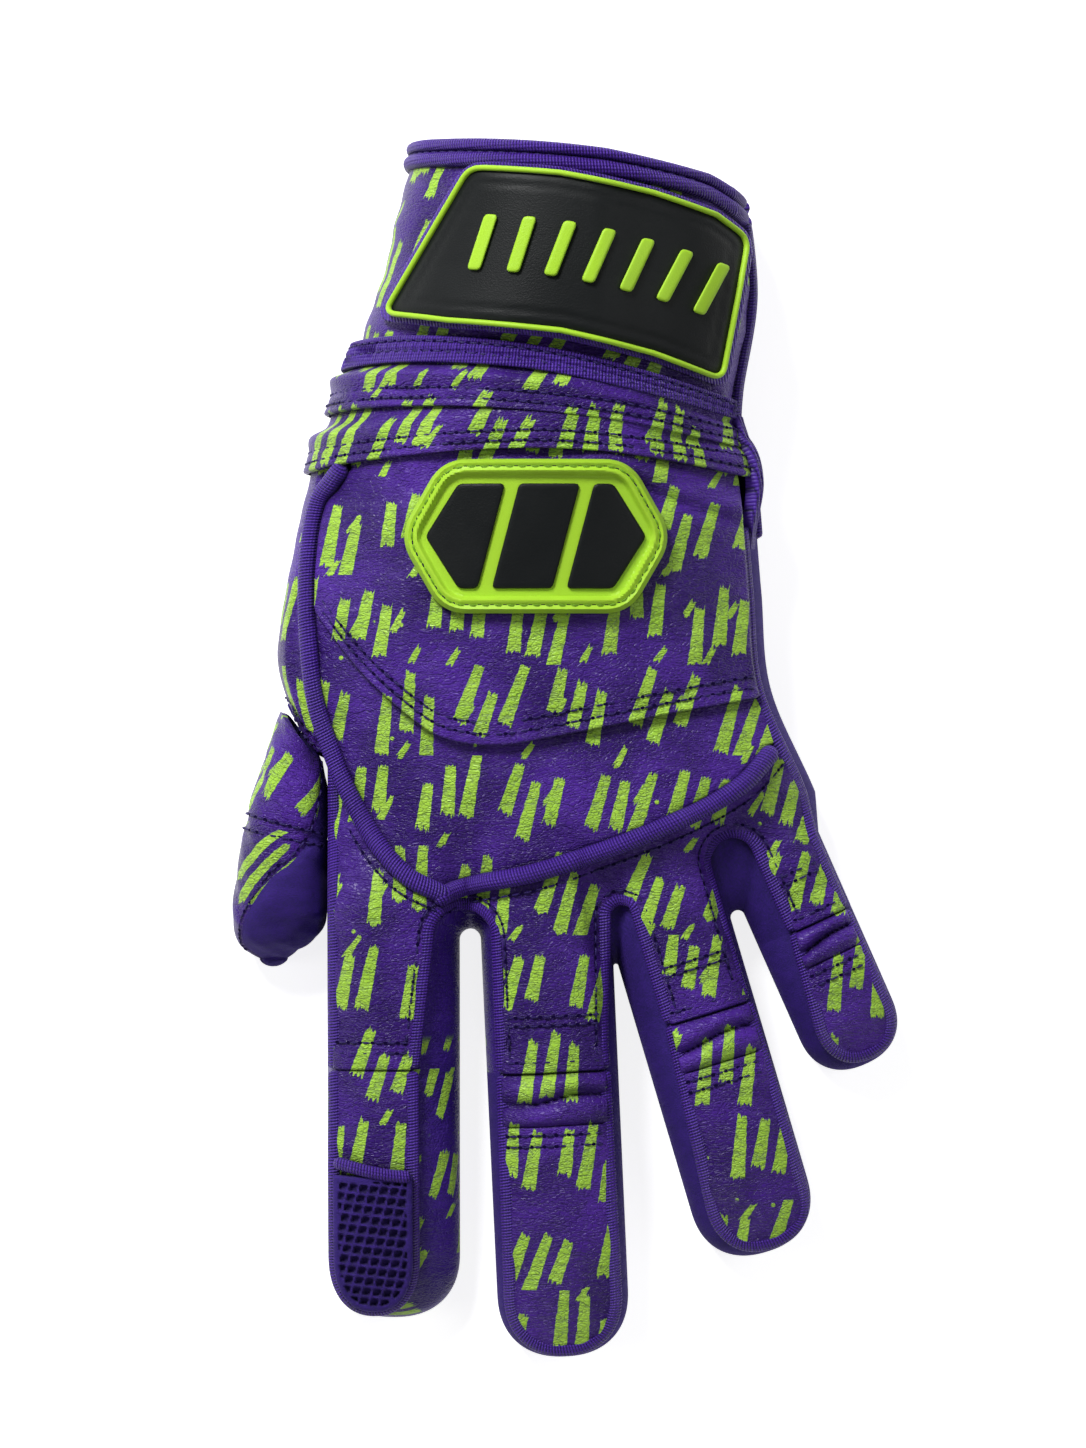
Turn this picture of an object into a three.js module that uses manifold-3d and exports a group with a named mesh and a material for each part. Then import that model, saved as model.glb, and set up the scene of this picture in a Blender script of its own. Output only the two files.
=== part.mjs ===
// Batting glove for the left hand, closed round the wrist and filled as if worn, lying palm down.
// Millimetres, +Z up. The fingers point to -Y, the thumb lies at -X, the back of the hand faces +Z.
import * as THREE from 'three';
import Module from 'manifold-3d';
import { mergeVertices } from 'three/addons/utils/BufferGeometryUtils.js';

const wasm = await Module();
wasm.setup();

// Overall size of an adult large, from the cuff to the middle fingertip
const gloveLength = 243;

// Seam lines were traced on the photograph, where the same length takes this many pixels
const traceLengthPixels = 1215;
const traceCentrePixels = [561.5, 755];

// Sheet stock and the space between neighbouring pieces
const leather = 1.1;
const seamGap = 0.35;
const lapGap = 0.5;
const lapLift = leather + lapGap;
const lapTuck = 3.2;
const lapRun = 8;
const tuckedEdge = 0.15;
const tuckSink = 0.3;
const wallTuck = 1.3;
const wallDrop = leather + wallTuck;
const cutOverrun = 20;

// Heights of the filled glove above the surface it lies on
const wristHeight = 42;
const wristRise = 2.5;
const wristRiseShare = 0.3;
const fingerKnuckleHeight = 27;
const fingerMiddleHeight = 23;
const fingerEndHeight = 12;
const fingerEdgeDrop = 4.5;
const knuckleBlend = 20;
const valleyShare = 0.4;

// Wrist strap layers, from the loop pad up to the raised bars
const loopPadThickness = 0.8;
const hookPadThickness = 0.7;
const strapThickness = 1;
const plateThickness = 1.5;
const rimWidth = 0.9;
const rimHeight = 0.7;
const barWidth = 2.6;
const barHeight = 1;
const barLength = 11;
const barSlant = 1.2;
const barCorner = 0.85;
const strapRampRun = 12;
const strapCorner = 3;
const strapMargin = 1;

// Badge of moulded rubber
const badgeLength = 54;
const badgeWidth = 30;
const badgeBaseThickness = 1.3;
const badgeRimWidth = 3;
const badgeRimHeight = 1;
const insetThickness = 0.8;
const badgeCorner = 5;
const insetCorner = 1;

// Rolled edges
const pipingRadius = 1.9;
const bindingHeight = 5.6;
const bindingRoll = 1.1;
const slitRollRadius = 1.2;

// Grip patch on the index fingertip
const gripThickness = 1.6;
const recessSide = 1.35;
const recessPitch = 2.35;
const recessDepth = 0.8;
const gripStart = 21;

// Fingers, traced: where the middle knuckle hinge lies, how wide and long the finger is, and how far its back
// panel stops inside the outline on the thumb side and on the other
const fingerPixels = {
  index: {
    hinge: [393, 1067.5], width: 133, tipLength: 255, baseLength: 160,
    rootInsets: [7.5, 27], insets: [7.5, 46], endInsets: [7.5, 46], flexLength: 50,
  },
  middle: {
    hinge: [552.5, 1070], width: 132, tipLength: 292.5, baseLength: 160,
    rootInsets: [15, 7], insets: [15, 13], endInsets: [12, 12], flexLength: 55,
  },
  ring: {
    hinge: [696.5, 1015], width: 122, tipLength: 252.5, baseLength: 120,
    rootInsets: [33, 8], insets: [33, 8], endInsets: [17, 8], flexLength: 52.5,
  },
  little: {
    hinge: [806, 926], width: 102, tipLength: 155, baseLength: 80,
    rootInsets: [38, 8], insets: [38, 8], endInsets: [15, 8], flexLength: 40,
  },
};
const splays = { index: 0, middle: 2.6, ring: 16.5, little: 24 };
const thumbCrotchPixels = [328, 807.5];
const tipRoundShare = 1;
const tipRoundPower = 2.3;
const endInset = 2;
const footInset = 2;
const rootTurn = 8;
const edgeReach = 1.2;

// Flex panels over the middle knuckles
const foldHeight = 1.1;
const folds = 2;

// Thumb: a short tube beside the hand, crossed by a seam at its joint
const thumbHeight = 21;
const thumbPower = 2.5;

// Form of the filled hand: how far the back panels stop short of the outline, and how the back is crowned
const handInsets = [5.5, 3];
const domePower = 2.4;
const waistShare = 0.48;
const waistAtShare = 0.4;
const shoulderStart = THREE.MathUtils.degToRad(40);
const panelCell = 7.5;
const fingerCells = [4.5, 9];
const strapCells = [7.5, 10];

// Seam lines and outlines, traced from the thumb side to the little finger side
const leftEdgePixels = [
  [418, 126], [387, 262], [358, 345], [330, 417], [310, 475], [287, 580], [278, 670], [312, 762], [328, 850],
  [328, 930],
];
const rightEdgePixels = [
  [741, 190], [752, 296], [738, 392], [738, 440], [752, 480], [762, 590], [772, 690], [818, 795], [842, 870],
  [864, 930],
];
const crownShares = [1, 1, 0.99, 0.98, 0.95, 0.88, 0.82, 0.76, 0.7, 0.62];
const edgeShares = [0.66, 0.65, 0.63, 0.61, 0.59, 0.56, 0.54, 0.52, 0.5, 0.46];
const mouthPixels = [[400, 143], [480, 150], [580, 160], [650, 170], [705, 183], [760, 212]];
const cuffEndPixels = [[340, 347], [410, 343], [528, 354], [640, 378], [760, 412]];
const bandEndPixels = [[340, 374], [410, 370], [528, 378], [640, 400], [760, 430]];
const yokeUpperPixels = [[318, 418], [380, 413], [479, 415], [578, 423], [645, 433], [760, 458]];
const yokeLowerPixels = [[298, 477], [363, 466], [479, 456], [562, 455], [645, 463], [768, 484]];
const backLapPixels = [
  [310, 600], [326, 625], [363, 672], [406, 712], [446, 738], [496, 745], [545, 738], [612, 725], [678, 712],
  [790, 692],
];
const pipingLeftPixels = [
  [335, 484], [320, 508], [311, 566], [311, 632], [318, 698], [333, 748], [351, 792], [379, 842], [408, 874],
  [438, 890],
];
const pipingRightPixels = [
  [464, 885], [533, 871], [596, 850], [656, 827], [707, 803], [742, 781], [764, 757],
];
const palmThumbPixels = [[283, 706], [316, 757]];
const thumbWebPixels = [[270, 700], [290, 718], [305, 742], [330, 762]];
const slitEndPixels = [[700, 541], [790, 541]];
const palmEndPixels = [[280, 530], [790, 530]];
const crotches = {
  indexMiddle: { fingers: ['index', 'middle'], gapPixels: [474, 930], archPixels: [472, 905] },
  middleRing: { fingers: ['middle', 'ring'], gapPixels: [619, 965], archPixels: [620, 902] },
  ringLittle: { fingers: ['ring', 'little'], gapPixels: [738, 912], archPixels: [728, 836] },
};
const strapPixels = [
  [470, 179], [560, 188], [650, 205], [714, 223], [748, 244], [738, 300], [721, 388], [650, 365], [560, 345],
  [450, 333], [383, 321],
];
const badgeCentrePixels = [536, 541];
const padPixels = [[474, 186], [560, 196], [590, 202], [575, 340], [560, 338], [450, 326], [396, 315]];
const padEndPixels = [590, 270];
const barPixels = [[484, 256], [560, 264], [650, 282], [708, 298]];
const barCount = 7;
const badgeShares = [[-1, 0], [-0.68, -1], [0.68, -1], [1, 0], [0.68, 1], [-0.68, 1]];
const insetShares = [
  [[-0.8, 0], [-0.56, -0.68], [-0.42, -0.68], [-0.22, 0.68], [-0.56, 0.68]],
  [[-0.32, -0.68], [0.12, -0.68], [0.32, 0.68], [-0.12, 0.68]],
  [[0.22, -0.68], [0.56, -0.68], [0.8, 0], [0.56, 0.68], [0.42, 0.68]],
];
const thumbLeftPixels = [[280, 712], [262, 762], [245, 817], [236, 872], [231, 920], [237, 946], [257, 960]];
const thumbRightPixels = [[313, 762], [321, 795], [323, 838], [323, 882], [322, 915], [313, 940], [286, 961]];
const thumbHeightShares = [1, 1, 1, 0.96, 0.84, 0.62, 0.3];
const thumbTopShares = [0.06, 0.1, 0.15, 0.27, 0.37, 0.41, 0.42];
const thumbFootShare = 0.7;
const thumbJointShare = 0.345;
const thumbJointGapShare = 0.01;
const seamTurnShare = 0.012;

// Places round the hand, counted as handPoint does: the slit's edges and the rolls that bind them, the seam
// between back and palm, and where the laps, the tab, the side panel and the palm's turned-up edge start or
// end
const slitShares = [-0.3, 3.46];
const slitRollShares = [3.632, 3.528];
const thumbSeamShares = [1.86, 1.878];
const lappedStartShare = 0.02;
const tabShares = [-0.3, -0.14];
const sideStartShare = 1.22;
const turnedEndShare = 2.1;

// How far down a yoke its rise to the top of the lap starts and ends
const yokeUpperRiseShares = [0.2, 0.45];
const yokeLowerRiseShares = [0.3, 0.7];

const mmPerPixel = gloveLength / traceLengthPixels;

// Place in the plan of a traced point
function plan([across, down]) {
  const [centreAcross, centreDown] = traceCentrePixels;
  return new THREE.Vector2((across - centreAcross) * mmPerPixel, (centreDown - down) * mmPerPixel);
}

const traced = (value) => (Array.isArray(value) ? value.map(traced) : value * mmPerPixel);
const fingers = Object.fromEntries(Object.entries(fingerPixels).map(([name, { hinge, ...sizes }]) => {
  const scaled = Object.entries(sizes).map(([size, value]) => [size, traced(value)]);
  return [name, { hinge: plan(hinge), splay: splays[name], ...Object.fromEntries(scaled) }];
}));

function planCurve(pixels) {
  return new THREE.SplineCurve(pixels.map(plan));
}

// A seam line as a function: its Y at a given X, carried on straight past its ends
function seamLine(pixels) {
  const points = planCurve(pixels).getPoints(pixels.length * 6);
  return (x) => {
    let i = 1;
    while (i < points.length - 1 && points[i].x < x) {
      i += 1;
    }
    const from = points[i - 1];
    const to = points[i];
    return from.y + (to.y - from.y) * (x - from.x) / (to.x - from.x);
  };
}

// Value at share t of a row of evenly spaced values
function along(values, t) {
  const place = THREE.MathUtils.clamp(t, 0, 1) * (values.length - 1);
  const index = Math.min(Math.floor(place), values.length - 2);
  return THREE.MathUtils.lerp(values[index], values[index + 1], place - index);
}

// Closed solid from a grid of outer points and a grid of inner points
function slab(outer, inner, nu, nv) {
  const positions = [];
  const faces = [];
  const at = (layer, i, j) => layer * (nu + 1) * (nv + 1) + i * (nv + 1) + j;
  [outer, inner].forEach((layer) => layer.forEach((p) => positions.push(p.x, p.y, p.z)));
  const quad = (a, b, c, d) => faces.push(a, b, c, a, c, d);
  for (let i = 0; i < nu; i += 1) {
    for (let j = 0; j < nv; j += 1) {
      quad(at(0, i, j), at(0, i + 1, j), at(0, i + 1, j + 1), at(0, i, j + 1));
      quad(at(1, i, j), at(1, i, j + 1), at(1, i + 1, j + 1), at(1, i + 1, j));
    }
  }
  for (let i = 0; i < nu; i += 1) {
    quad(at(0, i, 0), at(1, i, 0), at(1, i + 1, 0), at(0, i + 1, 0));
    quad(at(0, i, nv), at(0, i + 1, nv), at(1, i + 1, nv), at(1, i, nv));
  }
  for (let j = 0; j < nv; j += 1) {
    quad(at(0, 0, j), at(0, 0, j + 1), at(1, 0, j + 1), at(1, 0, j));
    quad(at(0, nu, j), at(1, nu, j), at(1, nu, j + 1), at(0, nu, j + 1));
  }
  const geometry = new THREE.BufferGeometry();
  geometry.setAttribute('position', new THREE.Float32BufferAttribute(positions, 3));
  geometry.setIndex(faces);
  return geometry;
}

// Direction that faces out of a surface at (u, v), from its two tangents
function facing(pointAt, u, v) {
  const step = 1e-3;
  const low = (value) => Math.max(0, value - step);
  const high = (value) => Math.min(1, value + step);
  const alongU = pointAt(high(u), v).sub(pointAt(low(u), v));
  const alongV = pointAt(u, high(v)).sub(pointAt(u, low(v)));
  return alongU.cross(alongV).normalize();
}

const flat = () => 0;

// Sheet of leather or rubber: the outer surface is pointAt(u, v), the inner one lies a thickness below it.
// A lift raises both, a bulge raises the outer one alone.
function sheet(pointAt, nu, nv, thickness, { lift = flat, bulge = flat } = {}) {
  const outer = [];
  const inner = [];
  for (let i = 0; i <= nu; i += 1) {
    for (let j = 0; j <= nv; j += 1) {
      const [u, v] = [i / nu, j / nv];
      const point = pointAt(u, v);
      const normal = facing(pointAt, u, v);
      outer.push(point.clone().addScaledVector(normal, lift(u, v) + bulge(u, v)));
      inner.push(point.clone().addScaledVector(normal, lift(u, v) - thickness));
    }
  }
  return slab(outer, inner, nu, nv);
}

function solidOf(geometry) {
  const bare = new THREE.BufferGeometry();
  bare.setAttribute('position', geometry.getAttribute('position').clone());
  bare.setIndex(geometry.getIndex());
  const merged = mergeVertices(bare);
  return new wasm.Manifold(new wasm.Mesh({
    numProp: 3,
    vertProperties: new Float32Array(merged.getAttribute('position').array),
    triVerts: new Uint32Array(merged.getIndex().array),
  }));
}

function geometryOf(solid) {
  const mesh = solid.getMesh();
  const geometry = new THREE.BufferGeometry();
  geometry.setAttribute('position', new THREE.BufferAttribute(new Float32Array(mesh.vertProperties), 3));
  geometry.setIndex(new THREE.BufferAttribute(new Uint32Array(mesh.triVerts), 1));
  return geometry;
}

const leftEdge = planCurve(leftEdgePixels);
const rightEdge = planCurve(rightEdgePixels);

// Points round the hand at station t, from the cuff mouth (0) to the finger roots (1). k runs 0 to 1 over the
// back from the little finger side, 1 to 2 down the thumb side, 2 to 3 under the palm, 3 to 4 up again.
function handPoint(t, k) {
  const left = leftEdge.getPoint(t);
  const right = rightEdge.getPoint(t);
  const inward = right.clone().sub(left).normalize();
  const edge = wristHeight * along(edgeShares, t);
  const crown = wristHeight * along(crownShares, t);
  const waist = edge * waistShare;
  const side = ((k % 4) + 4) % 4;
  if (side <= 1) {
    const from = right.addScaledVector(inward, -handInsets[1]);
    const to = left.addScaledVector(inward, handInsets[0]);
    const height = crown - (crown - edge) * Math.abs(1 - 2 * side) ** domePower;
    return lay(from.lerp(to, side), raised(t, height));
  }
  if (side <= 2) {
    const [offset, height] = wallProfile(2 - side, handInsets[0], edge, waist);
    return lay(left.addScaledVector(inward, offset), raised(t, height));
  }
  if (side <= 3) {
    const from = left.addScaledVector(inward, footInset);
    return lay(from.lerp(right.addScaledVector(inward, -footInset), side - 2), raised(t, 0));
  }
  const [offset, height] = wallProfile(side - 3, handInsets[1], edge, waist);
  return lay(right.addScaledVector(inward, -offset), raised(t, height));
}

// The wrist stands a little clear of the surface, and the palm lies flat on it
function raised(t, height) {
  const rise = wristRise * (1 - THREE.MathUtils.smoothstep(t, 0, wristRiseShare));
  return rise + height * (1 - rise / wristHeight);
}

function lay(place, height) {
  return new THREE.Vector3(place.x, place.y, height);
}

// Side of a filled tube from its foot (v = 0) to the edge of the back panel (v = 1): how far inside the
// outline it lies, and how high
function wallProfile(v, inset, edge, waist, foot = footInset) {
  if (v < waistAtShare) {
    const angle = (v / waistAtShare) * Math.PI / 2;
    return [foot * (1 - Math.sin(angle)), waist * (1 - Math.cos(angle))];
  }
  const rise = (v - waistAtShare) / (1 - waistAtShare);
  const angle = THREE.MathUtils.lerp(Math.PI / 2, shoulderStart, rise);
  const offset = inset * (1 - Math.sin(angle)) / (1 - Math.sin(shoulderStart));
  return [offset, waist + (edge - waist) * Math.cos(angle) / Math.cos(shoulderStart)];
}

// Station of the hand whose section line passes through (x, y)
function stationOf(x, y) {
  let [low, high] = [0, 1];
  for (let i = 0; i < 16; i += 1) {
    const middle = (low + high) / 2;
    const left = leftEdge.getPoint(middle);
    const right = rightEdge.getPoint(middle);
    const above = (right.x - left.x) * (y - left.y) - (right.y - left.y) * (x - left.x) > 0;
    [low, high] = above ? [low, middle] : [middle, high];
  }
  return (low + high) / 2;
}

function handHeight(x, y) {
  const t = stationOf(x, y);
  const left = leftEdge.getPoint(t);
  const right = rightEdge.getPoint(t);
  const width = right.distanceTo(left);
  const across = new THREE.Vector2(x, y).sub(left).dot(right.clone().sub(left)) / width;
  const share = (across - handInsets[0]) / (width - handInsets[0] - handInsets[1]);
  const edge = wristHeight * along(edgeShares, t);
  const crown = wristHeight * along(crownShares, t);
  return raised(t, crown - (crown - edge) * Math.min(edgeReach, Math.abs(2 * share - 1)) ** domePower);
}

// A finger's own frame: c runs across it to the little finger side, d along it from the hinge to the tip
function fingerPlace(finger, c, d) {
  const turn = THREE.MathUtils.degToRad(finger.splay);
  return new THREE.Vector2(c, -d).rotateAround(new THREE.Vector2(), turn).add(finger.hinge);
}

function fingerShares(finger, x, y) {
  const turn = THREE.MathUtils.degToRad(finger.splay);
  const local = new THREE.Vector2(x, y).sub(finger.hinge);
  local.rotateAround(new THREE.Vector2(), -turn);
  return [local.x, -local.y];
}

function halfWidth(finger, d) {
  const half = finger.width / 2;
  const roundFrom = finger.tipLength - half * tipRoundShare;
  if (d <= roundFrom) {
    return half;
  }
  const share = Math.min(1, (d - roundFrom) / (finger.tipLength - roundFrom));
  return half * (1 - share ** tipRoundPower) ** (1 / tipRoundPower);
}

// Height of a finger's back at (c, d)
function fingerHeight(finger, c, d) {
  const slimness = finger.width / fingers.middle.width;
  const middle = fingerMiddleHeight * slimness;
  const drop = fingerEdgeDrop * Math.min(edgeReach, Math.abs(2 * c / finger.width)) ** domePower;
  if (d < 0) {
    const share = Math.min(1, -d / finger.baseLength);
    return THREE.MathUtils.lerp(middle, fingerKnuckleHeight * slimness, share) - drop;
  }
  const share = Math.min(1, d / finger.tipLength);
  const end = fingerEndHeight * slimness;
  return THREE.MathUtils.lerp(middle, end, share ** domePower) - drop * (1 - share / 2);
}

// Height of the back of the hand or of the finger bases over a place in the plan. Between two fingers the
// heights of both are mixed, so that the back runs through the valley without a step.
function backHeight(x, y) {
  const places = Object.values(fingers).map((finger) => {
    const [c, d] = fingerShares(finger, x, y);
    return { finger, c, d, distance: Math.abs(c) / finger.width };
  });
  const least = Math.min(...places.map((place) => place.distance));
  let [weights, height, reach] = [0, 0, 0];
  places.forEach(({ finger, c, d, distance }) => {
    const weight = Math.max(0, 1 - (distance - least) / valleyShare);
    weights += weight;
    height += weight * fingerHeight(finger, c, d);
    reach += weight * THREE.MathUtils.smoothstep(d, -finger.baseLength - knuckleBlend, -finger.baseLength);
  });
  const share = reach / weights;
  return share === 1 ? height / weights : THREE.MathUtils.lerp(handHeight(x, y), height / weights, share);
}

// How far a finger's back panel stops inside the outline, on its thumb side (side -1) or the other (side 1)
function edgeInset(finger, side, d) {
  const pick = (pair) => pair[side < 0 ? 0 : 1];
  const toRoot = [finger.rootInsets, finger.baseLength];
  const toTip = [finger.endInsets, finger.tipLength];
  const [farInsets, length] = d < 0 ? toRoot : toTip;
  return THREE.MathUtils.lerp(pick(finger.insets), pick(farInsets), Math.min(1, Math.abs(d) / length));
}

// The three lines that a gusset follows: its outline, the edge of the back panel and the edge of the palm
const onOutline = () => 0;
const onFoot = () => footInset;

const sideSteps = 4;
const archSteps = 6;

// U-shaped line round the gap between two fingers, from the first one's hinge to the second one's
function gapLine(crotch, insetAt, topPixels, raise = 0) {
  const [first, second] = crotch.fingers.map((name) => fingers[name]);
  const top = plan(topPixels);
  top.y += raise;
  const sidePoint = (finger, side, d) => {
    const across = finger.width / 2 - insetAt(finger, side, d);
    return fingerPlace(finger, side * across, d);
  };
  const depths = [first, second].map((finger) => fingerShares(finger, top.x, top.y)[1]);
  const half = sidePoint(first, 1, depths[0]).distanceTo(sidePoint(second, -1, depths[1])) / 2;
  const from = sidePoint(first, 1, depths[0] + half);
  const to = sidePoint(second, -1, depths[1] + half);
  const middle = from.clone().add(to).divideScalar(2);
  const points = [];
  for (let i = 0; i < sideSteps; i += 1) {
    points.push(sidePoint(first, 1, THREE.MathUtils.lerp(-seamGap, depths[0] + half, i / sideSteps)));
  }
  for (let i = 0; i <= archSteps; i += 1) {
    points.push(from.clone().rotateAround(middle, -Math.PI * i / archSteps));
  }
  for (let i = sideSteps - 1; i >= 0; i -= 1) {
    points.push(sidePoint(second, -1, THREE.MathUtils.lerp(-seamGap, depths[1] + half, i / sideSteps)));
  }
  return points;
}

// Line along one side of a finger between two depths
function sideLine(finger, side, insetAt, from, to, steps = sideSteps) {
  const points = [];
  for (let i = 0; i <= steps; i += 1) {
    const d = THREE.MathUtils.lerp(from, to, i / steps);
    points.push(fingerPlace(finger, side * (finger.width / 2 - insetAt(finger, side, d)), d));
  }
  return points;
}

// Line round a fingertip in the finger's own frame, from the hinge down the thumb side and back up
function tipLine(finger, insetAt, endGap, start = seamGap) {
  const half = finger.width / 2;
  const roundFrom = finger.tipLength - half * tipRoundShare;
  const reach = finger.tipLength - endGap - roundFrom;
  const points = [];
  const edgeAt = (side, d) => side * (half - insetAt(finger, side, d));
  for (let i = 0; i < sideSteps; i += 1) {
    const d = THREE.MathUtils.lerp(start, roundFrom, i / sideSteps);
    points.push(new THREE.Vector2(edgeAt(-1, d), -d));
  }
  const centre = (edgeAt(1, roundFrom) + edgeAt(-1, roundFrom)) / 2;
  const reachAcross = (edgeAt(1, roundFrom) - edgeAt(-1, roundFrom)) / 2;
  const roundSteps = 2 * archSteps;
  for (let i = 0; i <= roundSteps; i += 1) {
    const angle = Math.PI * i / roundSteps;
    const across = Math.sign(Math.cos(angle)) * Math.abs(Math.cos(angle)) ** (2 / tipRoundPower);
    const down = Math.sin(angle) ** (2 / tipRoundPower);
    points.push(new THREE.Vector2(centre - reachAcross * across, -roundFrom - reach * down));
  }
  for (let i = sideSteps - 1; i >= 0; i -= 1) {
    const d = THREE.MathUtils.lerp(start, roundFrom, i / sideSteps);
    points.push(new THREE.Vector2(edgeAt(1, d), -d));
  }
  return points;
}

// Wall of a filled tube between the palm and the back: it rises from the foot line, swells to the outline at
// the waist and ends under the edge of the back panel. The tube's outside is on the right of the lines.
function tubeWall(outline, backEdge, foot, heightAt, rows = 4) {
  const pointOn = (line, u) => {
    const place = u * (line.length - 1);
    const index = Math.min(Math.floor(place), line.length - 2);
    return line[index].clone().lerp(line[index + 1], place - index);
  };
  const pointAt = (u, v) => {
    const edge = pointOn(backEdge, u);
    const height = heightAt(edge.x, edge.y) - wallDrop;
    const [share, z] = wallProfile(v, 1, height, height * waistShare, 1);
    const target = v < waistAtShare ? pointOn(foot, u) : edge;
    return lay(pointOn(outline, u).lerp(target, share), z);
  };
  return sheet(pointAt, outline.length - 1, rows, leather);
}

// Line moved to the right of its own direction
function offsetLine(points, distance) {
  return points.map((point, i) => {
    const before = points[Math.max(0, i - 1)];
    const after = points[Math.min(points.length - 1, i + 1)];
    const way = after.clone().sub(before).normalize();
    return new THREE.Vector2(point.x + way.y * distance, point.y - way.x * distance);
  });
}

// Outline without its doubled points and the ones that lie on a straight stretch
function closedShape(points) {
  const bendAt = 1e-3;
  const kept = points.filter((point, i) => {
    const before = points[(i + points.length - 1) % points.length];
    const after = points[(i + 1) % points.length];
    const [from, to] = [point.clone().sub(before).normalize(), after.clone().sub(point).normalize()];
    return Math.abs(from.cross(to)) > bendAt;
  });
  return new THREE.Shape(kept);
}

// Upright prism over an outline, tall enough to cut any sheet
function knife(shape) {
  const depth = wristHeight + 2 * cutOverrun;
  const prism = new THREE.ExtrudeGeometry(shape, { depth, bevelEnabled: false, curveSegments: 4 });
  return solidOf(prism.translate(0, 0, -cutOverrun));
}

// Panel cut by its outline from a curved sheet whose outer side is heightAt(x, y)
const panelCells = [panelCell, panelCell];

function cutSolid(shape, heightAt, thickness, { cells = panelCells, region = shape.getPoints(4) } = {}) {
  const box = new THREE.Box2().setFromPoints(region).expandByScalar(seamGap);
  const size = box.getSize(new THREE.Vector2());
  const [nu, nv] = [size.x / cells[0], size.y / cells[1]].map((count) => Math.max(1, Math.ceil(count)));
  const outer = [];
  const inner = [];
  for (let i = 0; i <= nu; i += 1) {
    for (let j = 0; j <= nv; j += 1) {
      const x = THREE.MathUtils.lerp(box.min.x, box.max.x, i / nu);
      const y = THREE.MathUtils.lerp(box.min.y, box.max.y, j / nv);
      const z = heightAt(x, y);
      outer.push(new THREE.Vector3(x, y, z));
      inner.push(new THREE.Vector3(x, y, z - thickness));
    }
  }
  return solidOf(slab(outer, inner, nu, nv)).intersect(knife(shape));
}

function cutPanel(...cut) {
  return geometryOf(cutSolid(...cut));
}

// Outline whose sharp corners are rounded
const sharpBend = THREE.MathUtils.degToRad(25);
const cornerShare = 0.45;

function roundedShape(points, radius) {
  const shape = new THREE.Shape();
  points.forEach((corner, i) => {
    const before = points[(i + points.length - 1) % points.length];
    const after = points[(i + 1) % points.length];
    const shorter = Math.min(corner.distanceTo(before), corner.distanceTo(after));
    const cut = Math.min(radius, shorter * cornerShare);
    const enter = corner.clone().add(before.clone().sub(corner).setLength(cut));
    const leave = corner.clone().add(after.clone().sub(corner).setLength(cut));
    const bend = corner.clone().sub(before).angleTo(after.clone().sub(corner));
    const first = bend > sharpBend ? enter : corner;
    if (i === 0) {
      shape.moveTo(first.x, first.y);
    } else {
      shape.lineTo(first.x, first.y);
    }
    if (bend > sharpBend) {
      shape.quadraticCurveTo(corner.x, corner.y, leave.x, leave.y);
    }
  });
  shape.closePath();
  return shape;
}

const seams = Object.fromEntries(Object.entries({
  mouth: mouthPixels,
  cuffEnd: cuffEndPixels,
  bandEnd: bandEndPixels,
  yokeUpper: yokeUpperPixels,
  yokeLower: yokeLowerPixels,
  backLap: backLapPixels,
  thumbWeb: thumbWebPixels,
  slitEnd: slitEndPixels,
  palmEnd: palmEndPixels,
}).map(([name, pixels]) => [name, seamLine(pixels)]));

// A seam line moved towards the wrist
const above = (line, distance) => (x) => line(x) + distance;

// Panel of the hand between two seam lines, over a stretch k of the way round
function ringPanel([kFrom, kTo], upper, lower, [nu, nv], thickness, looks = {}) {
  const stationAt = (k, line) => {
    let [low, high] = [0, 1];
    for (let i = 0; i < 14; i += 1) {
      const middle = (low + high) / 2;
      const point = handPoint(middle, k);
      [low, high] = point.y > line(point.x) ? [middle, high] : [low, middle];
    }
    return (low + high) / 2;
  };
  const ends = new Map();
  const pointAt = (u, v) => {
    const k = THREE.MathUtils.lerp(kFrom, kTo, u);
    if (!ends.has(k)) {
      ends.set(k, [stationAt(k, upper), stationAt(k, lower)]);
    }
    const [from, to] = ends.get(k);
    return handPoint(THREE.MathUtils.lerp(from, to, v), k);
  };
  return sheet(pointAt, nu, nv, thickness, looks);
}

// Points along an edge of the hand between two heights in the plan, moved inside by an inset
function handEdgeLine(side, inset, fromY, toY, steps) {
  const edge = side < 0 ? leftEdge : rightEdge;
  const points = [];
  for (let i = 0; i <= steps; i += 1) {
    const y = THREE.MathUtils.lerp(fromY, toY, i / steps);
    let [low, high] = [0, 1];
    for (let j = 0; j < 20; j += 1) {
      const middle = (low + high) / 2;
      [low, high] = edge.getPoint(middle).y > y ? [middle, high] : [low, middle];
    }
    const point = edge.getPoint(low);
    points.push(new THREE.Vector2(point.x - side * inset, y));
  }
  return points;
}

// Roll of knitted tape or covered cord along a row of places
function roll(points, radius, steps, sides = 8) {
  const section = new THREE.Shape();
  for (let i = 0; i < sides; i += 1) {
    const angle = 2 * Math.PI * i / sides;
    const [x, y] = [radius * Math.cos(angle), radius * Math.sin(angle)];
    if (i === 0) {
      section.moveTo(x, y);
    } else {
      section.lineTo(x, y);
    }
  }
  section.closePath();
  const extrudePath = new THREE.CatmullRomCurve3(points);
  return new THREE.ExtrudeGeometry(section, { steps, extrudePath, bevelEnabled: false });
}

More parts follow.
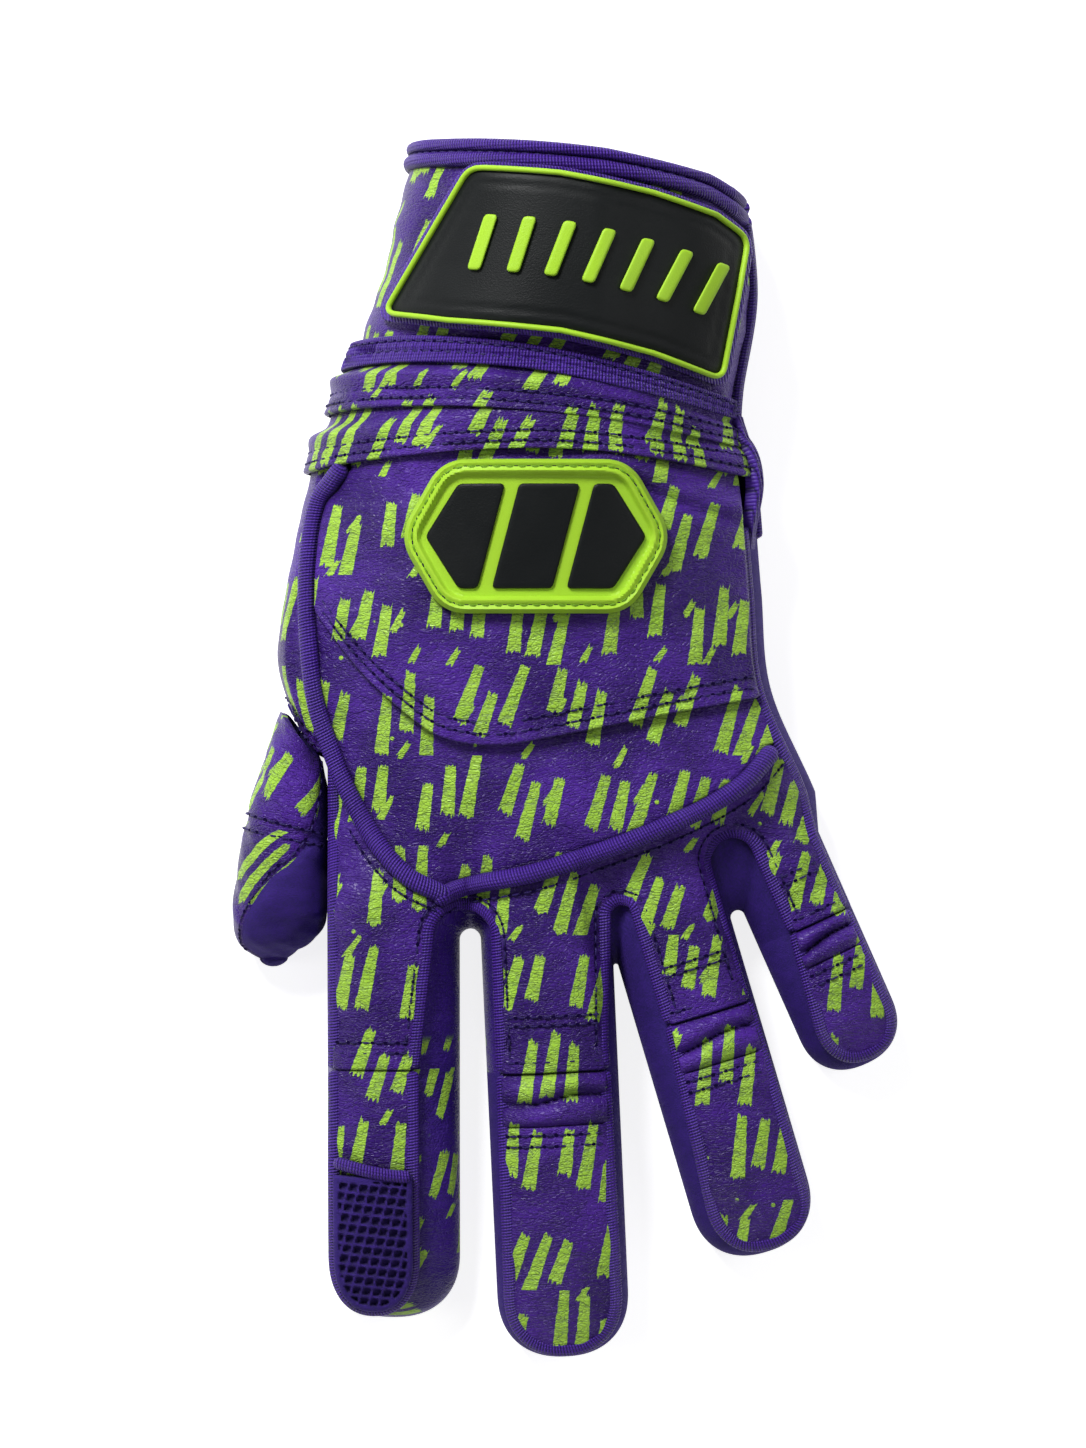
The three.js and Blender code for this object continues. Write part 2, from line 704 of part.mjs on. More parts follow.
const printed = { color: 0x5230a0, roughness: 0.5, metalness: 0 };
const suede = { color: 0x34168a, roughness: 0.85, metalness: 0 };
const knit = { color: 0x481ca6, roughness: 0.8, metalness: 0 };
const limeRubber = { color: 0xa2e02c, roughness: 0.45, metalness: 0 };
const blackRubber = { color: 0x25282b, roughness: 0.5, metalness: 0 };
const nylon = { color: 0x1b1b22, roughness: 0.9, metalness: 0 };

const glove = new THREE.Group();

function addPiece(name, geometry, finish, parent = glove) {
  const piece = new THREE.Mesh(geometry, new THREE.MeshStandardMaterial(finish));
  piece.name = name;
  parent.add(piece);
}

// Cuff, from its binding to the stitched band, with the slit on the little finger side
const bindingEnd = above(seams.mouth, -bindingHeight);
const cuffStart = above(bindingEnd, -seamGap);
const bandMiddle = above(seams.cuffEnd, -bindingHeight / 2);
const cuffPalmEnd = above(seams.palmEnd, seamGap);
const cuffBack = ringPanel([slitShares[0], thumbSeamShares[0]], cuffStart, bandMiddle, [18, 4], leather);
addPiece('cuff_back_panel', cuffBack, printed);
const cuffPalm = ringPanel([thumbSeamShares[1], slitShares[1]], cuffStart, cuffPalmEnd, [14, 5], leather);
addPiece('cuff_palm_panel', cuffPalm, suede);
const twoRolls = { bulge: (u, v) => bindingRoll * Math.sqrt(Math.abs(Math.sin(2 * Math.PI * v))) };
addPiece('cuff_binding', ringPanel(slitShares, seams.mouth, bindingEnd, [26, 4], leather, twoRolls), knit);

// Laps: each panel comes up from under the one before it and covers the next one's tucked edge
const lappedShares = [lappedStartShare, thumbSeamShares[0]];
const rising = ([from, to]) => ({ lift: (u, v) => lapLift * THREE.MathUtils.smoothstep(v, from, to) });
const onTop = { lift: () => lapLift };
const yokeStart = above(bandMiddle, -seamGap);
const tucked = (line) => above(line, lapTuck);
addPiece('wrist_band', ringPanel(lappedShares, seams.cuffEnd, seams.bandEnd, [18, 3], leather, onTop), knit);
[
  ['wrist_yoke_upper', yokeStart, seams.yokeUpper, yokeUpperRiseShares],
  ['wrist_yoke_lower', tucked(seams.yokeUpper), seams.yokeLower, yokeLowerRiseShares],
].forEach(([name, from, to, riseShares]) => {
  addPiece(name, ringPanel(lappedShares, from, to, [18, 5], leather, rising(riseShares)), printed);
});

// Slit edges, each bound with a roll of tape, and the doubled tab at the slit's lower end
function slitRoll(k, lower) {
  const points = [];
  const from = seams.mouth(plan(rightEdgePixels[0]).x) - bindingHeight;
  const steps = 6;
  for (let i = 0; i <= steps; i += 1) {
    const y = THREE.MathUtils.lerp(from, lower, i / steps);
    let [low, high] = [0, 1];
    for (let j = 0; j < 16; j += 1) {
      const middle = (low + high) / 2;
      [low, high] = handPoint(middle, k).y > y ? [middle, high] : [low, middle];
    }
    points.push(handPoint(low, k));
  }
  return roll(points, slitRollRadius, 12);
}
const slitX = plan(rightEdgePixels[3]).x;
addPiece('slit_binding_back', slitRoll(slitRollShares[0], yokeStart(slitX) + seamGap), knit);
addPiece('slit_binding_palm', slitRoll(slitRollShares[1], seams.slitEnd(0) + seamGap), knit);
const doubled = { bulge: (u) => bindingRoll * Math.sin(Math.PI * u), lift: () => bindingRoll / 2 };
addPiece('slit_tab', ringPanel(tabShares, yokeStart, seams.slitEnd, [4, 6], 2 * leather, doubled), knit);

// Back of the hand: an upper panel lapped over a lower one, which ends at the two pipings
const pipingLeft = planCurve(pipingLeftPixels).getPoints(20);
const pipingRight = planCurve(pipingRightPixels).getPoints(14);
const pipingSpace = pipingRadius + seamGap;
const besideLeft = offsetLine(pipingLeft, -pipingSpace);
const besideRight = offsetLine(pipingRight, -pipingSpace);
const backEdgeInset = handInsets[1] + seamGap;

function acrossLine(line, fromX, toX, steps) {
  const points = [];
  for (let i = 0; i <= steps; i += 1) {
    const x = THREE.MathUtils.lerp(fromX, toX, i / steps);
    points.push(new THREE.Vector2(x, line(x)));
  }
  return points;
}

function upperPanelShape() {
  const left = besideLeft.filter((point) => point.y > seams.backLap(point.x) + seamGap);
  const end = left[left.length - 1];
  const lapEnd = seams.backLap(pipingRight[pipingRight.length - 1].x);
  const right = handEdgeLine(1, backEdgeInset, lapEnd, besideLeft[0].y, 6);
  const lap = acrossLine(seams.backLap, end.x + seamGap, right[0].x - seamGap, 18);
  const top = acrossLine(tucked(seams.yokeLower), right[right.length - 1].x, left[0].x, 8);
  return closedShape([...left, ...lap, ...right, ...top]);
}

function lowerPanelShape() {
  const lap = tucked(seams.backLap);
  const left = besideLeft.filter((point) => point.y < lap(point.x));
  const rightTop = besideRight[besideRight.length - 1];
  const right = handEdgeLine(1, backEdgeInset, rightTop.y + seamGap, lap(rightTop.x), 3);
  const top = acrossLine(lap, right[right.length - 1].x - seamGap, left[0].x + seamGap, 18);
  return closedShape([...left, ...besideRight, ...right, ...top]);
}

function upperRise(x, y) {
  const share = THREE.MathUtils.smoothstep(seams.yokeLower(x) - y, lapTuck, lapTuck + lapRun);
  return THREE.MathUtils.lerp(-tuckSink, lapLift, share);
}
const upperHeight = (x, y) => backHeight(x, y) + upperRise(x, y);
addPiece('back_panel_upper', cutPanel(upperPanelShape(), upperHeight, leather), printed);
addPiece('back_panel_lower', cutPanel(lowerPanelShape(), backHeight, leather), printed);

function piping(line, steps) {
  return roll(line.map((point) => lay(point, backHeight(point.x, point.y))), pipingRadius, steps);
}
addPiece('piping_left', piping(pipingLeft, 20), knit);
addPiece('piping_right', piping(pipingRight, 14), knit);

// Backs of the fingers up to their hinges: one panel for the index, one for the other three
const gapEdge = (crotch) => gapLine(crotch, edgeInset, crotch.archPixels);
const { index, middle, ring, little } = fingers;
const thumbCrotch = plan(thumbCrotchPixels);
const thumbCrotchDepth = fingerShares(index, thumbCrotch.x, thumbCrotch.y)[1];

function indexPanelShape() {
  const side = sideLine(index, -1, edgeInset, thumbCrotchDepth, -seamGap);
  const arch = gapEdge(crotches.indexMiddle).slice(0, sideSteps + 2);
  const outside = offsetLine(pipingLeft, pipingSpace).filter((point) => point.y < side[0].y);
  return closedShape([...side, ...arch, ...outside.reverse()]);
}

function fingerPanelShape() {
  const start = gapEdge(crotches.indexMiddle).slice(sideSteps + 3);
  const others = [crotches.middleRing, crotches.ringLittle].flatMap(gapEdge);
  const side = sideLine(little, 1, edgeInset, -seamGap, -little.baseLength);
  const pipingEnd = pipingRight[pipingRight.length - 1].y;
  const from = side[side.length - 1].y + rootTurn;
  const edge = handEdgeLine(1, backEdgeInset, from, pipingEnd, 3);
  const outside = offsetLine(pipingRight, pipingSpace);
  return closedShape([...start, ...others, ...side, ...edge, ...outside.reverse()]);
}
const overFingers = { cells: fingerCells };
addPiece('index_back_panel', cutPanel(indexPanelShape(), backHeight, leather, overFingers), printed);
addPiece('finger_back_panel', cutPanel(fingerPanelShape(), backHeight, leather, overFingers), printed);

// Gussets between the fingers
Object.entries(crotches).forEach(([name, crotch]) => {
  const outline = gapLine(crotch, onOutline, crotch.gapPixels);
  const edge = gapLine(crotch, edgeInset, crotch.archPixels);
  const foot = gapLine(crotch, onFoot, crotch.gapPixels, footInset);
  addPiece(`gusset_${name}`, tubeWall(outline, edge, foot, backHeight), suede);
});

// Outer sides: the index finger's, the hand's on the little finger side and on the thumb side
const wallInsets = [onOutline, edgeInset, onFoot];
const indexSide = wallInsets.map((inset) => sideLine(index, -1, inset, thumbCrotchDepth, -seamGap, 6));
addPiece('index_side_panel', tubeWall(...indexSide, backHeight), suede);

function ulnarLine(insetAt, handInset) {
  const finger = sideLine(little, 1, insetAt, -seamGap, -little.baseLength);
  const from = finger[finger.length - 1].y + rootTurn;
  return [...finger, ...handEdgeLine(1, handInset, from, seams.slitEnd(0) - seamGap, 6)];
}
const handWallInsets = [0, handInsets[1], footInset];
const ulnarLines = wallInsets.map((inset, i) => ulnarLine(inset, handWallInsets[i]));
addPiece('ulnar_side_panel', tubeWall(...ulnarLines, backHeight), suede);
const sideSpan = [sideStartShare, thumbSeamShares[0]];
const webSide = above(seams.thumbWeb, seamGap);
addPiece('side_panel', ringPanel(sideSpan, tucked(seams.yokeLower), webSide, [6, 8], leather), printed);

// Palm: one flat panel with the fronts of the finger bases, turned up at the thumb side
function palmShape() {
  const footInsetPast = () => footInset + seamGap;
  const palmInset = footInset + seamGap;
  const webTop = planCurve(palmThumbPixels).getPoints(2);
  const left = handEdgeLine(-1, palmInset, seams.palmEnd(0), webTop[0].y + lapTuck, 5);
  const indexEdge = sideLine(index, -1, footInsetPast, thumbCrotchDepth, -seamGap);
  const gapOf = (crotch) => gapLine(crotch, footInsetPast, crotch.gapPixels, palmInset);
  const gaps = Object.values(crotches).flatMap(gapOf);
  const littleEdge = sideLine(little, 1, footInsetPast, -seamGap, -little.baseLength);
  const rise = littleEdge[littleEdge.length - 1].y + rootTurn;
  const right = handEdgeLine(1, palmInset, rise, seams.palmEnd(0), 6);
  return closedShape([...left, ...webTop, ...indexEdge, ...gaps, ...littleEdge, ...right]);
}
const plate = (shape) => new THREE.ExtrudeGeometry(shape, { depth: leather, bevelEnabled: false });
const turnedSpan = [thumbSeamShares[1], turnedEndShare];
const withinPlate = { lift: () => -tuckedEdge };
const turnedUp = ringPanel(turnedSpan, seams.palmEnd, webSide, [4, 6], leather - 2 * tuckedEdge, withinPlate);
addPiece('palm_panel', geometryOf(solidOf(plate(palmShape())).add(solidOf(turnedUp))), suede);

// Fingertips: each turns on its hinge line as one group of panels round a hollow
function tipShape(finger, start) {
  return closedShape(tipLine(finger, edgeInset, endInset, start));
}

function bandShape(finger, from, to) {
  const points = [-1, 1].flatMap((side) => {
    const edgeAt = (d) => new THREE.Vector2(side * (finger.width / 2 - edgeInset(finger, side, d)), -d);
    return side < 0 ? [edgeAt(from), edgeAt(to)] : [edgeAt(to), edgeAt(from)];
  });
  return new THREE.Shape(points);
}

const hasFlexPanel = (name) => name !== 'index';
Object.entries(fingers).forEach(([name, finger]) => {
  const tip = new THREE.Group();
  tip.position.set(finger.hinge.x, finger.hinge.y, 0);
  tip.rotation.z = THREE.MathUtils.degToRad(finger.splay);
  glove.add(tip);
  const heightAt = (x, y) => fingerHeight(finger, x, -y);
  const outline = tipLine(finger, onOutline, 0);
  const edge = tipLine(finger, edgeInset, endInset);
  const foot = tipLine(finger, onFoot, footInset);
  addPiece(`${name}_tip_gusset`, tubeWall(outline, edge, foot, heightAt), suede, tip);
  const front = closedShape(tipLine(finger, () => footInset + seamGap, footInset + seamGap));
  addPiece(`${name}_tip_front`, plate(front), suede, tip);
  const backStart = hasFlexPanel(name) ? finger.flexLength + seamGap : seamGap;
  const back = cutPanel(tipShape(finger, backStart), heightAt, leather, overFingers);
  addPiece(`${name}_tip_back`, back, printed, tip);
  if (hasFlexPanel(name)) {
    const foldAt = (x, y) => {
      const phase = Math.PI * folds * -y / finger.flexLength;
      return heightAt(x, y) + foldHeight * Math.sin(phase) ** 2;
    };
    const cells = [fingerCells[0], finger.flexLength / 8];
    const flex = cutPanel(bandShape(finger, seamGap, finger.flexLength), foldAt, leather, { cells });
    addPiece(`${name}_flex_panel`, flex, printed, tip);
  }
});

// Grip patch on the index fingertip, with rows of square recesses
function gripPatch() {
  const liftedBy = lapGap + gripThickness;
  const heightAt = (x, y) => fingerHeight(index, x, -y) + liftedBy;
  let patch = cutSolid(tipShape(index, gripStart), heightAt, gripThickness, overFingers);
  const left = -index.width / 2 + index.insets[0];
  const right = index.width / 2 - index.endInsets[1];
  const columns = Math.floor((right - left - recessPitch) / recessPitch);
  const rows = Math.floor((index.tipLength - endInset - gripStart - 2 * recessPitch) / recessPitch);
  for (let i = 0; i < columns; i += 1) {
    for (let j = 0; j < rows; j += 1) {
      const x = left + recessPitch * (i + 1);
      const d = gripStart + recessPitch * (j + 1);
      if (Math.abs(x) < halfWidth(index, d + recessPitch) - index.insets[0] - recessSide) {
        const recess = new THREE.BoxGeometry(recessSide, recessSide, 2 * recessDepth);
        recess.translate(x, -d, heightAt(x, -d));
        patch = patch.subtract(solidOf(recess));
      }
    }
  }
  return geometryOf(patch);
}
const indexTip = glove.children.find((child) => child.isGroup);
addPiece('index_grip_patch', gripPatch(), knit, indexTip);

// Wrist strap: it turns on its sewn end at the little finger side, and its free end grips the pad on the cuff
const strap = new THREE.Group();
glove.add(strap);

// Closed outline moved outwards
function grownLoop(points, distance) {
  const turning = Math.sign(THREE.ShapeUtils.area(points));
  return points.map((point, i) => {
    const before = points[(i + points.length - 1) % points.length];
    const after = points[(i + 1) % points.length];
    const into = point.clone().sub(before).normalize();
    const out = after.clone().sub(point).normalize();
    const way = into.clone().add(out).normalize();
    const miter = turning * distance / way.dot(into);
    return new THREE.Vector2(point.x + way.y * miter, point.y - way.x * miter);
  });
}

const plateLine = strapPixels.map(plan);
const strapLoop = grownLoop(plateLine, strapMargin);
const strapGrid = { region: strapLoop, cells: strapCells };
const strapEndX = plan(strapPixels[4]).x;
const padReach = plan(padEndPixels).x;
const padStack = seamGap + loopPadThickness + seamGap + hookPadThickness;

// Clear height of the strap over the cuff: it rides over the pads and comes down to its sewn end
function strapBase(x, y) {
  const padRun = strapEndX - padReach;
  const over = THREE.MathUtils.smoothstep(strapEndX - x, padRun - strapRampRun, padRun);
  return backHeight(x, y) + seamGap + padStack * over;
}
const strapLayer = (level) => (x, y) => strapBase(x, y) + level;
const bandTop = strapThickness;
const plateTop = bandTop + seamGap + plateThickness;
const bandOutline = roundedShape(strapLoop, strapCorner + strapMargin);
addPiece('strap_band', cutPanel(bandOutline, strapLayer(bandTop), strapThickness, strapGrid), knit, strap);
const plateInset = rimWidth + seamGap;
const plateShape = roundedShape(grownLoop(plateLine, -plateInset), strapCorner - plateInset);
const strapPlate = cutPanel(plateShape, strapLayer(plateTop), plateThickness, strapGrid);
addPiece('strap_plate', strapPlate, blackRubber, strap);
const rimThickness = plateThickness + rimHeight;
const rimOutline = roundedShape(plateLine, strapCorner);
const rimBlank = cutSolid(rimOutline, strapLayer(plateTop + rimHeight), rimThickness, strapGrid);
const rimBore = knife(roundedShape(grownLoop(plateLine, -rimWidth), strapCorner - rimWidth));
addPiece('strap_rim', geometryOf(rimBlank.subtract(rimBore)), limeRubber, strap);

const barLine = planCurve(barPixels);
for (let i = 0; i < barCount; i += 1) {
  const share = i / (barCount - 1);
  const place = barLine.getPointAt(share);
  const way = barLine.getTangentAt(share);
  const up = new THREE.Vector2(-way.y, way.x);
  const corner = (side, end) => place.clone().addScaledVector(way, side * barWidth / 2 + end * barSlant)
    .addScaledVector(up, end * barLength / 2);
  const shape = roundedShape([corner(-1, -1), corner(1, -1), corner(1, 1), corner(-1, 1)], barCorner);
  const top = strapLayer(plateTop + seamGap + barHeight);
  addPiece(`strap_bar_${i + 1}`, cutPanel(shape, top, barHeight, strapGrid), limeRubber, strap);
}

const padShape = (margin) => roundedShape(grownLoop(padPixels.map(plan), -margin), strapCorner);
const loopTop = (x, y) => backHeight(x, y) + seamGap + loopPadThickness;
const hookTop = (x, y) => backHeight(x, y) + padStack;
addPiece('loop_pad', cutPanel(padShape(0), loopTop, loopPadThickness, strapGrid), nylon);
const hookPad = cutPanel(padShape(strapMargin), hookTop, hookPadThickness, strapGrid);
addPiece('strap_hook_pad', hookPad, nylon, strap);

// Badge of moulded rubber: a base with a raised rim, and three black insets
const badgeCentre = plan(badgeCentrePixels);
const badgeHalf = new THREE.Vector2(badgeLength, badgeWidth).divideScalar(2);
const badgePoint = (shares) => new THREE.Vector2(...shares).multiply(badgeHalf).add(badgeCentre);
const badgeLoop = badgeShares.map(badgePoint);
const badgeGrid = { region: badgeLoop, cells: strapCells };
const badgeSole = (x, y) => backHeight(x, y) + lapLift + seamGap;
const baseTop = (x, y) => badgeSole(x, y) + badgeBaseThickness;
const badgeShape = roundedShape(badgeLoop, badgeCorner);
const rimTop = (x, y) => baseTop(x, y) + badgeRimHeight;
const badgeBlank = cutSolid(badgeShape, rimTop, badgeRimHeight + badgeBaseThickness, badgeGrid);
const badgeFloor = (x, y) => rimTop(x, y) + cutOverrun;
const recessShape = roundedShape(grownLoop(badgeLoop, -badgeRimWidth), badgeCorner - badgeRimWidth);
const badgeRecess = cutSolid(recessShape, badgeFloor, badgeRimHeight + cutOverrun, badgeGrid);
addPiece('badge_base', geometryOf(badgeBlank.subtract(badgeRecess)), limeRubber);
const insetTop = (x, y) => baseTop(x, y) + seamGap + insetThickness;
insetShares.forEach((shares, i) => {
  const shape = roundedShape(shares.map(badgePoint), insetCorner);
  addPiece(`badge_inset_${i + 1}`, cutPanel(shape, insetTop, insetThickness, badgeGrid), blackRubber);
});

// Thumb: a printed back and a suede front, each crossed by the seam at the joint
const thumbLeft = planCurve(thumbLeftPixels);
const thumbRight = planCurve(thumbRightPixels);

function thumbPoint(place, turn) {
  const [left, right] = [thumbLeft.getPoint(place), thumbRight.getPoint(place)];
  const height = thumbHeight * along(thumbHeightShares, place);
  const angle = 2 * Math.PI * turn;
  const power = 2 / thumbPower;
  const across = Math.sign(Math.cos(angle)) * Math.abs(Math.cos(angle)) ** power;
  const up = Math.sign(Math.sin(angle)) * Math.abs(Math.sin(angle)) ** power;
  return lay(left.clone().lerp(right, (1 + across) / 2), height * (1 + up) / 2);
}

function thumbPanel(from, to, turnFrom, turnTo, rows) {
  const pointAt = (u, v) => {
    const place = THREE.MathUtils.lerp(from, to, v);
    return thumbPoint(place, THREE.MathUtils.lerp(turnFrom(place), turnTo(place), u));
  };
  return sheet(pointAt, 8, rows, leather);
}
const backFrom = (place) => along(thumbTopShares, place) + seamTurnShare;
const backTo = () => thumbFootShare - seamTurnShare;
const frontFrom = () => thumbFootShare + seamTurnShare;
const frontTo = (place) => 1 + along(thumbTopShares, place) - seamTurnShare;
const [baseEnd, tipStart] = [thumbJointShare - thumbJointGapShare, thumbJointShare + thumbJointGapShare];
addPiece('thumb_base_back', thumbPanel(0, baseEnd, backFrom, backTo, 4), printed);
addPiece('thumb_base_front', thumbPanel(0, baseEnd, frontFrom, frontTo, 4), suede);
const thumbTip = new THREE.Group();
glove.add(thumbTip);
addPiece('thumb_tip_back', thumbPanel(tipStart, 1, backFrom, backTo, 8), printed, thumbTip);
addPiece('thumb_tip_front', thumbPanel(tipStart, 1, frontFrom, frontTo, 8), suede, thumbTip);

// The origin is under the middle of the glove, on the surface it lies on
const bounds = new THREE.Box3().setFromObject(glove, true);
const centre = bounds.getCenter(new THREE.Vector3());
glove.position.set(-centre.x, -centre.y, -bounds.min.z);

export default glove;
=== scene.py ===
"""Dress a left-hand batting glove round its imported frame: leather, suede, tape, rubber and thread.

Lengths in the classes are millimetres in the plan that the seam lines were traced in; meshes are made
in metres, in the frame's own place. The fingers point to -Y and the back of the hand faces +Z.
"""
from __future__ import annotations

import logging
import math
from dataclasses import dataclass
from enum import Enum
from typing import Callable, Sequence

import bpy
import numpy as np
from mathutils.geometry import delaunay_2d_cdt
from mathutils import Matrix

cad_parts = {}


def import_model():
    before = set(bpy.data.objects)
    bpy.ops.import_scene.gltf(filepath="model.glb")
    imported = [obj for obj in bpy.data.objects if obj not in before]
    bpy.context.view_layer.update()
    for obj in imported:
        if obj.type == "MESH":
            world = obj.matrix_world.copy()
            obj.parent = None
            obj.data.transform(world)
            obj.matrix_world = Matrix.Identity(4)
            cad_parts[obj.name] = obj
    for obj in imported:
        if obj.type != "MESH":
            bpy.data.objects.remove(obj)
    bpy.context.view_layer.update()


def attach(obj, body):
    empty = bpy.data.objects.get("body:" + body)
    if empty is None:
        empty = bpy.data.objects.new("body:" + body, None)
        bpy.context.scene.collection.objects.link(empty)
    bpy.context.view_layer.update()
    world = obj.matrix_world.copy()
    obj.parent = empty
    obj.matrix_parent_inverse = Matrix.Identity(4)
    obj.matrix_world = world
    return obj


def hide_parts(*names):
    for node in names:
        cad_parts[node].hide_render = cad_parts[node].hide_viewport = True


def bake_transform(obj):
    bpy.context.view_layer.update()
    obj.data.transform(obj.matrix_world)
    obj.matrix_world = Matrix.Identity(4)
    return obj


Array = np.ndarray
Line = Callable[[Array], Array]
Height = Callable[[Array, Array], Array]
Lift = Callable[[Array, Array], Array] | float
Inset = Callable[["Finger", int, Array], Array]
Row = tuple[Array, Array]
Pair = tuple[float, float]
Material = bpy.types.Material

LOG = logging.getLogger("glove")

# Place of the traced plan in the frame, and the scale of the tracing
FRAME_SHIFT = (-0.8585, -0.3912)
MM_PER_PIXEL = 0.2
TRACE_CENTRE = (561.5, 755.0)
METRES = 0.001

# Leather, and how its panels lap over and tuck under each other
LEATHER = 1.1
LAP_GAP = 0.5
LAP_LIFT = LEATHER + LAP_GAP
LAP_TUCK = 3.2
LAP_RUN = 8.0
TUCK_SINK = 0.3
WALL_DROP = LEATHER + 0.75
SEAM_GAP = 0.35

# Heights and insets of the hand and the fingers
FOOT_INSET = 2.0
END_INSET = 2.0
WRIST_HEIGHT = 42.0
WRIST_RISE = 2.5
WRIST_RISE_SHARE = 0.3
KNUCKLE_HEIGHT = 27.0
MIDDLE_HEIGHT = 23.0
END_HEIGHT = 12.0
EDGE_DROP = 4.5
KNUCKLE_BLEND = 20.0
VALLEY_SHARE = 0.4
EDGE_REACH = 1.2
HAND_INSETS = (5.5, 3.0)
HAND_EDGE_INSET = HAND_INSETS[1] + 0.1
DOME_POWER = 2.4
WAIST_SHARE = 0.48
WAIST_AT = 0.4
SHOULDER = math.radians(40)
TIP_POWER = 2.3
ROOT_TURN = 8.0
THUMB_CROTCH = -60.5
THUMB_SEAM_K = (1.86, 1.878)

# Trimmings
BINDING_HEIGHT = 5.6
PIPING_RADIUS = 1.9
PIPING_TUCK = PIPING_RADIUS * 0.7
TAPE_RADIUS = 1.4
TAPE_FLAT = 0.55
TAPE_SINK = 0.45
THREAD_RADIUS = 0.2

# Fineness of the meshes: about how long the hand and its sides are, rows up a wall, and halvings of a search
HAND_LENGTH = 212.0
SIDE_LENGTH = 75.0
WALL_HEIGHT = 20.0
WALL_ROWS = 26
HALVINGS = 18
SHARP = math.radians(55)
UP = np.array([0.0, 0.0, 1.0])

LEFT_EDGE = [(418, 126), (387, 262), (358, 345), (330, 417), (310, 475), (287, 580), (278, 670), (312, 762),
             (328, 850), (328, 930)]
RIGHT_EDGE = [(741, 190), (752, 296), (738, 392), (738, 440), (752, 480), (762, 590), (772, 690), (818, 795),
              (842, 870), (864, 930)]
CROWN_SHARES = [1, 1, 0.99, 0.98, 0.95, 0.88, 0.82, 0.76, 0.7, 0.62]
EDGE_SHARES = [0.66, 0.65, 0.63, 0.61, 0.59, 0.56, 0.54, 0.52, 0.5, 0.46]
SEAM_PIXELS = {
    "mouth": [(400, 143), (480, 150), (580, 160), (650, 170), (705, 183), (760, 212)],
    "cuff_end": [(340, 347), (410, 343), (528, 354), (640, 378), (760, 412)],
    "band_end": [(340, 374), (410, 370), (528, 378), (640, 400), (760, 430)],
    "yoke_upper": [(318, 418), (380, 413), (479, 415), (578, 423), (645, 433), (760, 458)],
    "yoke_lower": [(298, 477), (363, 466), (479, 456), (562, 455), (645, 463), (768, 484)],
    "back_lap": [(310, 600), (326, 625), (363, 672), (406, 712), (446, 738), (496, 745), (545, 738), (612, 725),
                 (678, 712), (790, 692)],
    "thumb_web": [(270, 700), (290, 718), (305, 742), (330, 762)],
    "slit_end": [(700, 541), (790, 541)],
    "palm_end": [(280, 530), (790, 530)],
}
PIPING_PIXELS = {
    "left": [(348, 468), (335, 484), (320, 508), (311, 566), (311, 632), (318, 698), (333, 748), (351, 792),
             (379, 842), (408, 874), (438, 890), (448, 895)],
    "right": [(434, 899), (464, 885), (533, 871), (596, 850), (656, 827), (707, 803), (742, 781), (764, 757),
              (772, 749)],
}
PALM_THUMB = [(283, 706), (316, 757)]
STRAP = [(470, 179), (560, 188), (650, 205), (714, 223), (748, 244), (738, 300), (721, 388), (650, 365),
         (560, 345), (450, 333), (383, 321)]
PAD = [(474, 186), (560, 196), (590, 202), (575, 340), (560, 338), (450, 326), (396, 315)]
PAD_END = (590, 270)
BAR_LINE = [(484, 256), (560, 264), (650, 282), (708, 298)]
BADGE_CENTRE = (536, 541)
THUMB_LEFT = [(280, 712), (262, 762), (245, 817), (236, 872), (231, 920), (237, 946), (257, 960)]
THUMB_RIGHT = [(322, 762), (328, 795), (329, 838), (329, 882), (327, 915), (313, 940), (286, 961)]
THUMB_HEIGHT_SHARES = [1, 1, 1, 0.96, 0.84, 0.62, 0.3]
THUMB_SEAM_SHARES = [0.06, 0.1, 0.15, 0.27, 0.37, 0.41, 0.42]


def plan(pixels: Sequence[Sequence[float]]) -> Array:
    """Places in the plan, in millimetres, of traced points."""
    points = np.asarray(pixels, float)
    return np.stack([(points[..., 0] - TRACE_CENTRE[0]) * MM_PER_PIXEL,
                     (TRACE_CENTRE[1] - points[..., 1]) * MM_PER_PIXEL], -1)


def spline(points: Array, share: Array) -> Array:
    """Points at shares of a uniform Catmull-Rom curve: a cubic through each pair of neighbours."""
    last = len(points) - 1
    place = np.clip(np.asarray(share, float), 0, 1) * last
    at = np.minimum(np.floor(place).astype(int), last - 1)
    w = (place - at)[..., None]
    p0, p1, p2, p3 = (points[np.clip(at + step, 0, last)] for step in (-1, 0, 1, 2))
    v0, v1 = (p2 - p0) / 2, (p3 - p1) / 2
    return (2 * p1 - 2 * p2 + v0 + v1) * w ** 3 + (-3 * p1 + 3 * p2 - 2 * v0 - v1) * w ** 2 + v0 * w + p1


def smoothstep(value: Array, low: float | Array, high: float | Array) -> Array:
    """Rise from 0 at low to 1 at high, level at both ends."""
    share = np.clip((value - low) / (high - low), 0, 1)
    return share * share * (3 - 2 * share)


def along(values: Sequence[float], share: Array) -> Array:
    """Value at a share of a row of evenly spaced values."""
    return np.interp(np.clip(share, 0, 1) * (len(values) - 1), np.arange(len(values)), values)


def halved(holds: Callable[[Array], Array], places: Array) -> Array:
    """Share of the way, at each place, up to which a test holds, found by halving."""
    low, high = np.zeros_like(places), np.ones_like(places)
    for _ in range(HALVINGS):
        middle = (low + high) / 2
        held = holds(middle)
        low, high = np.where(held, middle, low), np.where(held, high, middle)
    return (low + high) / 2


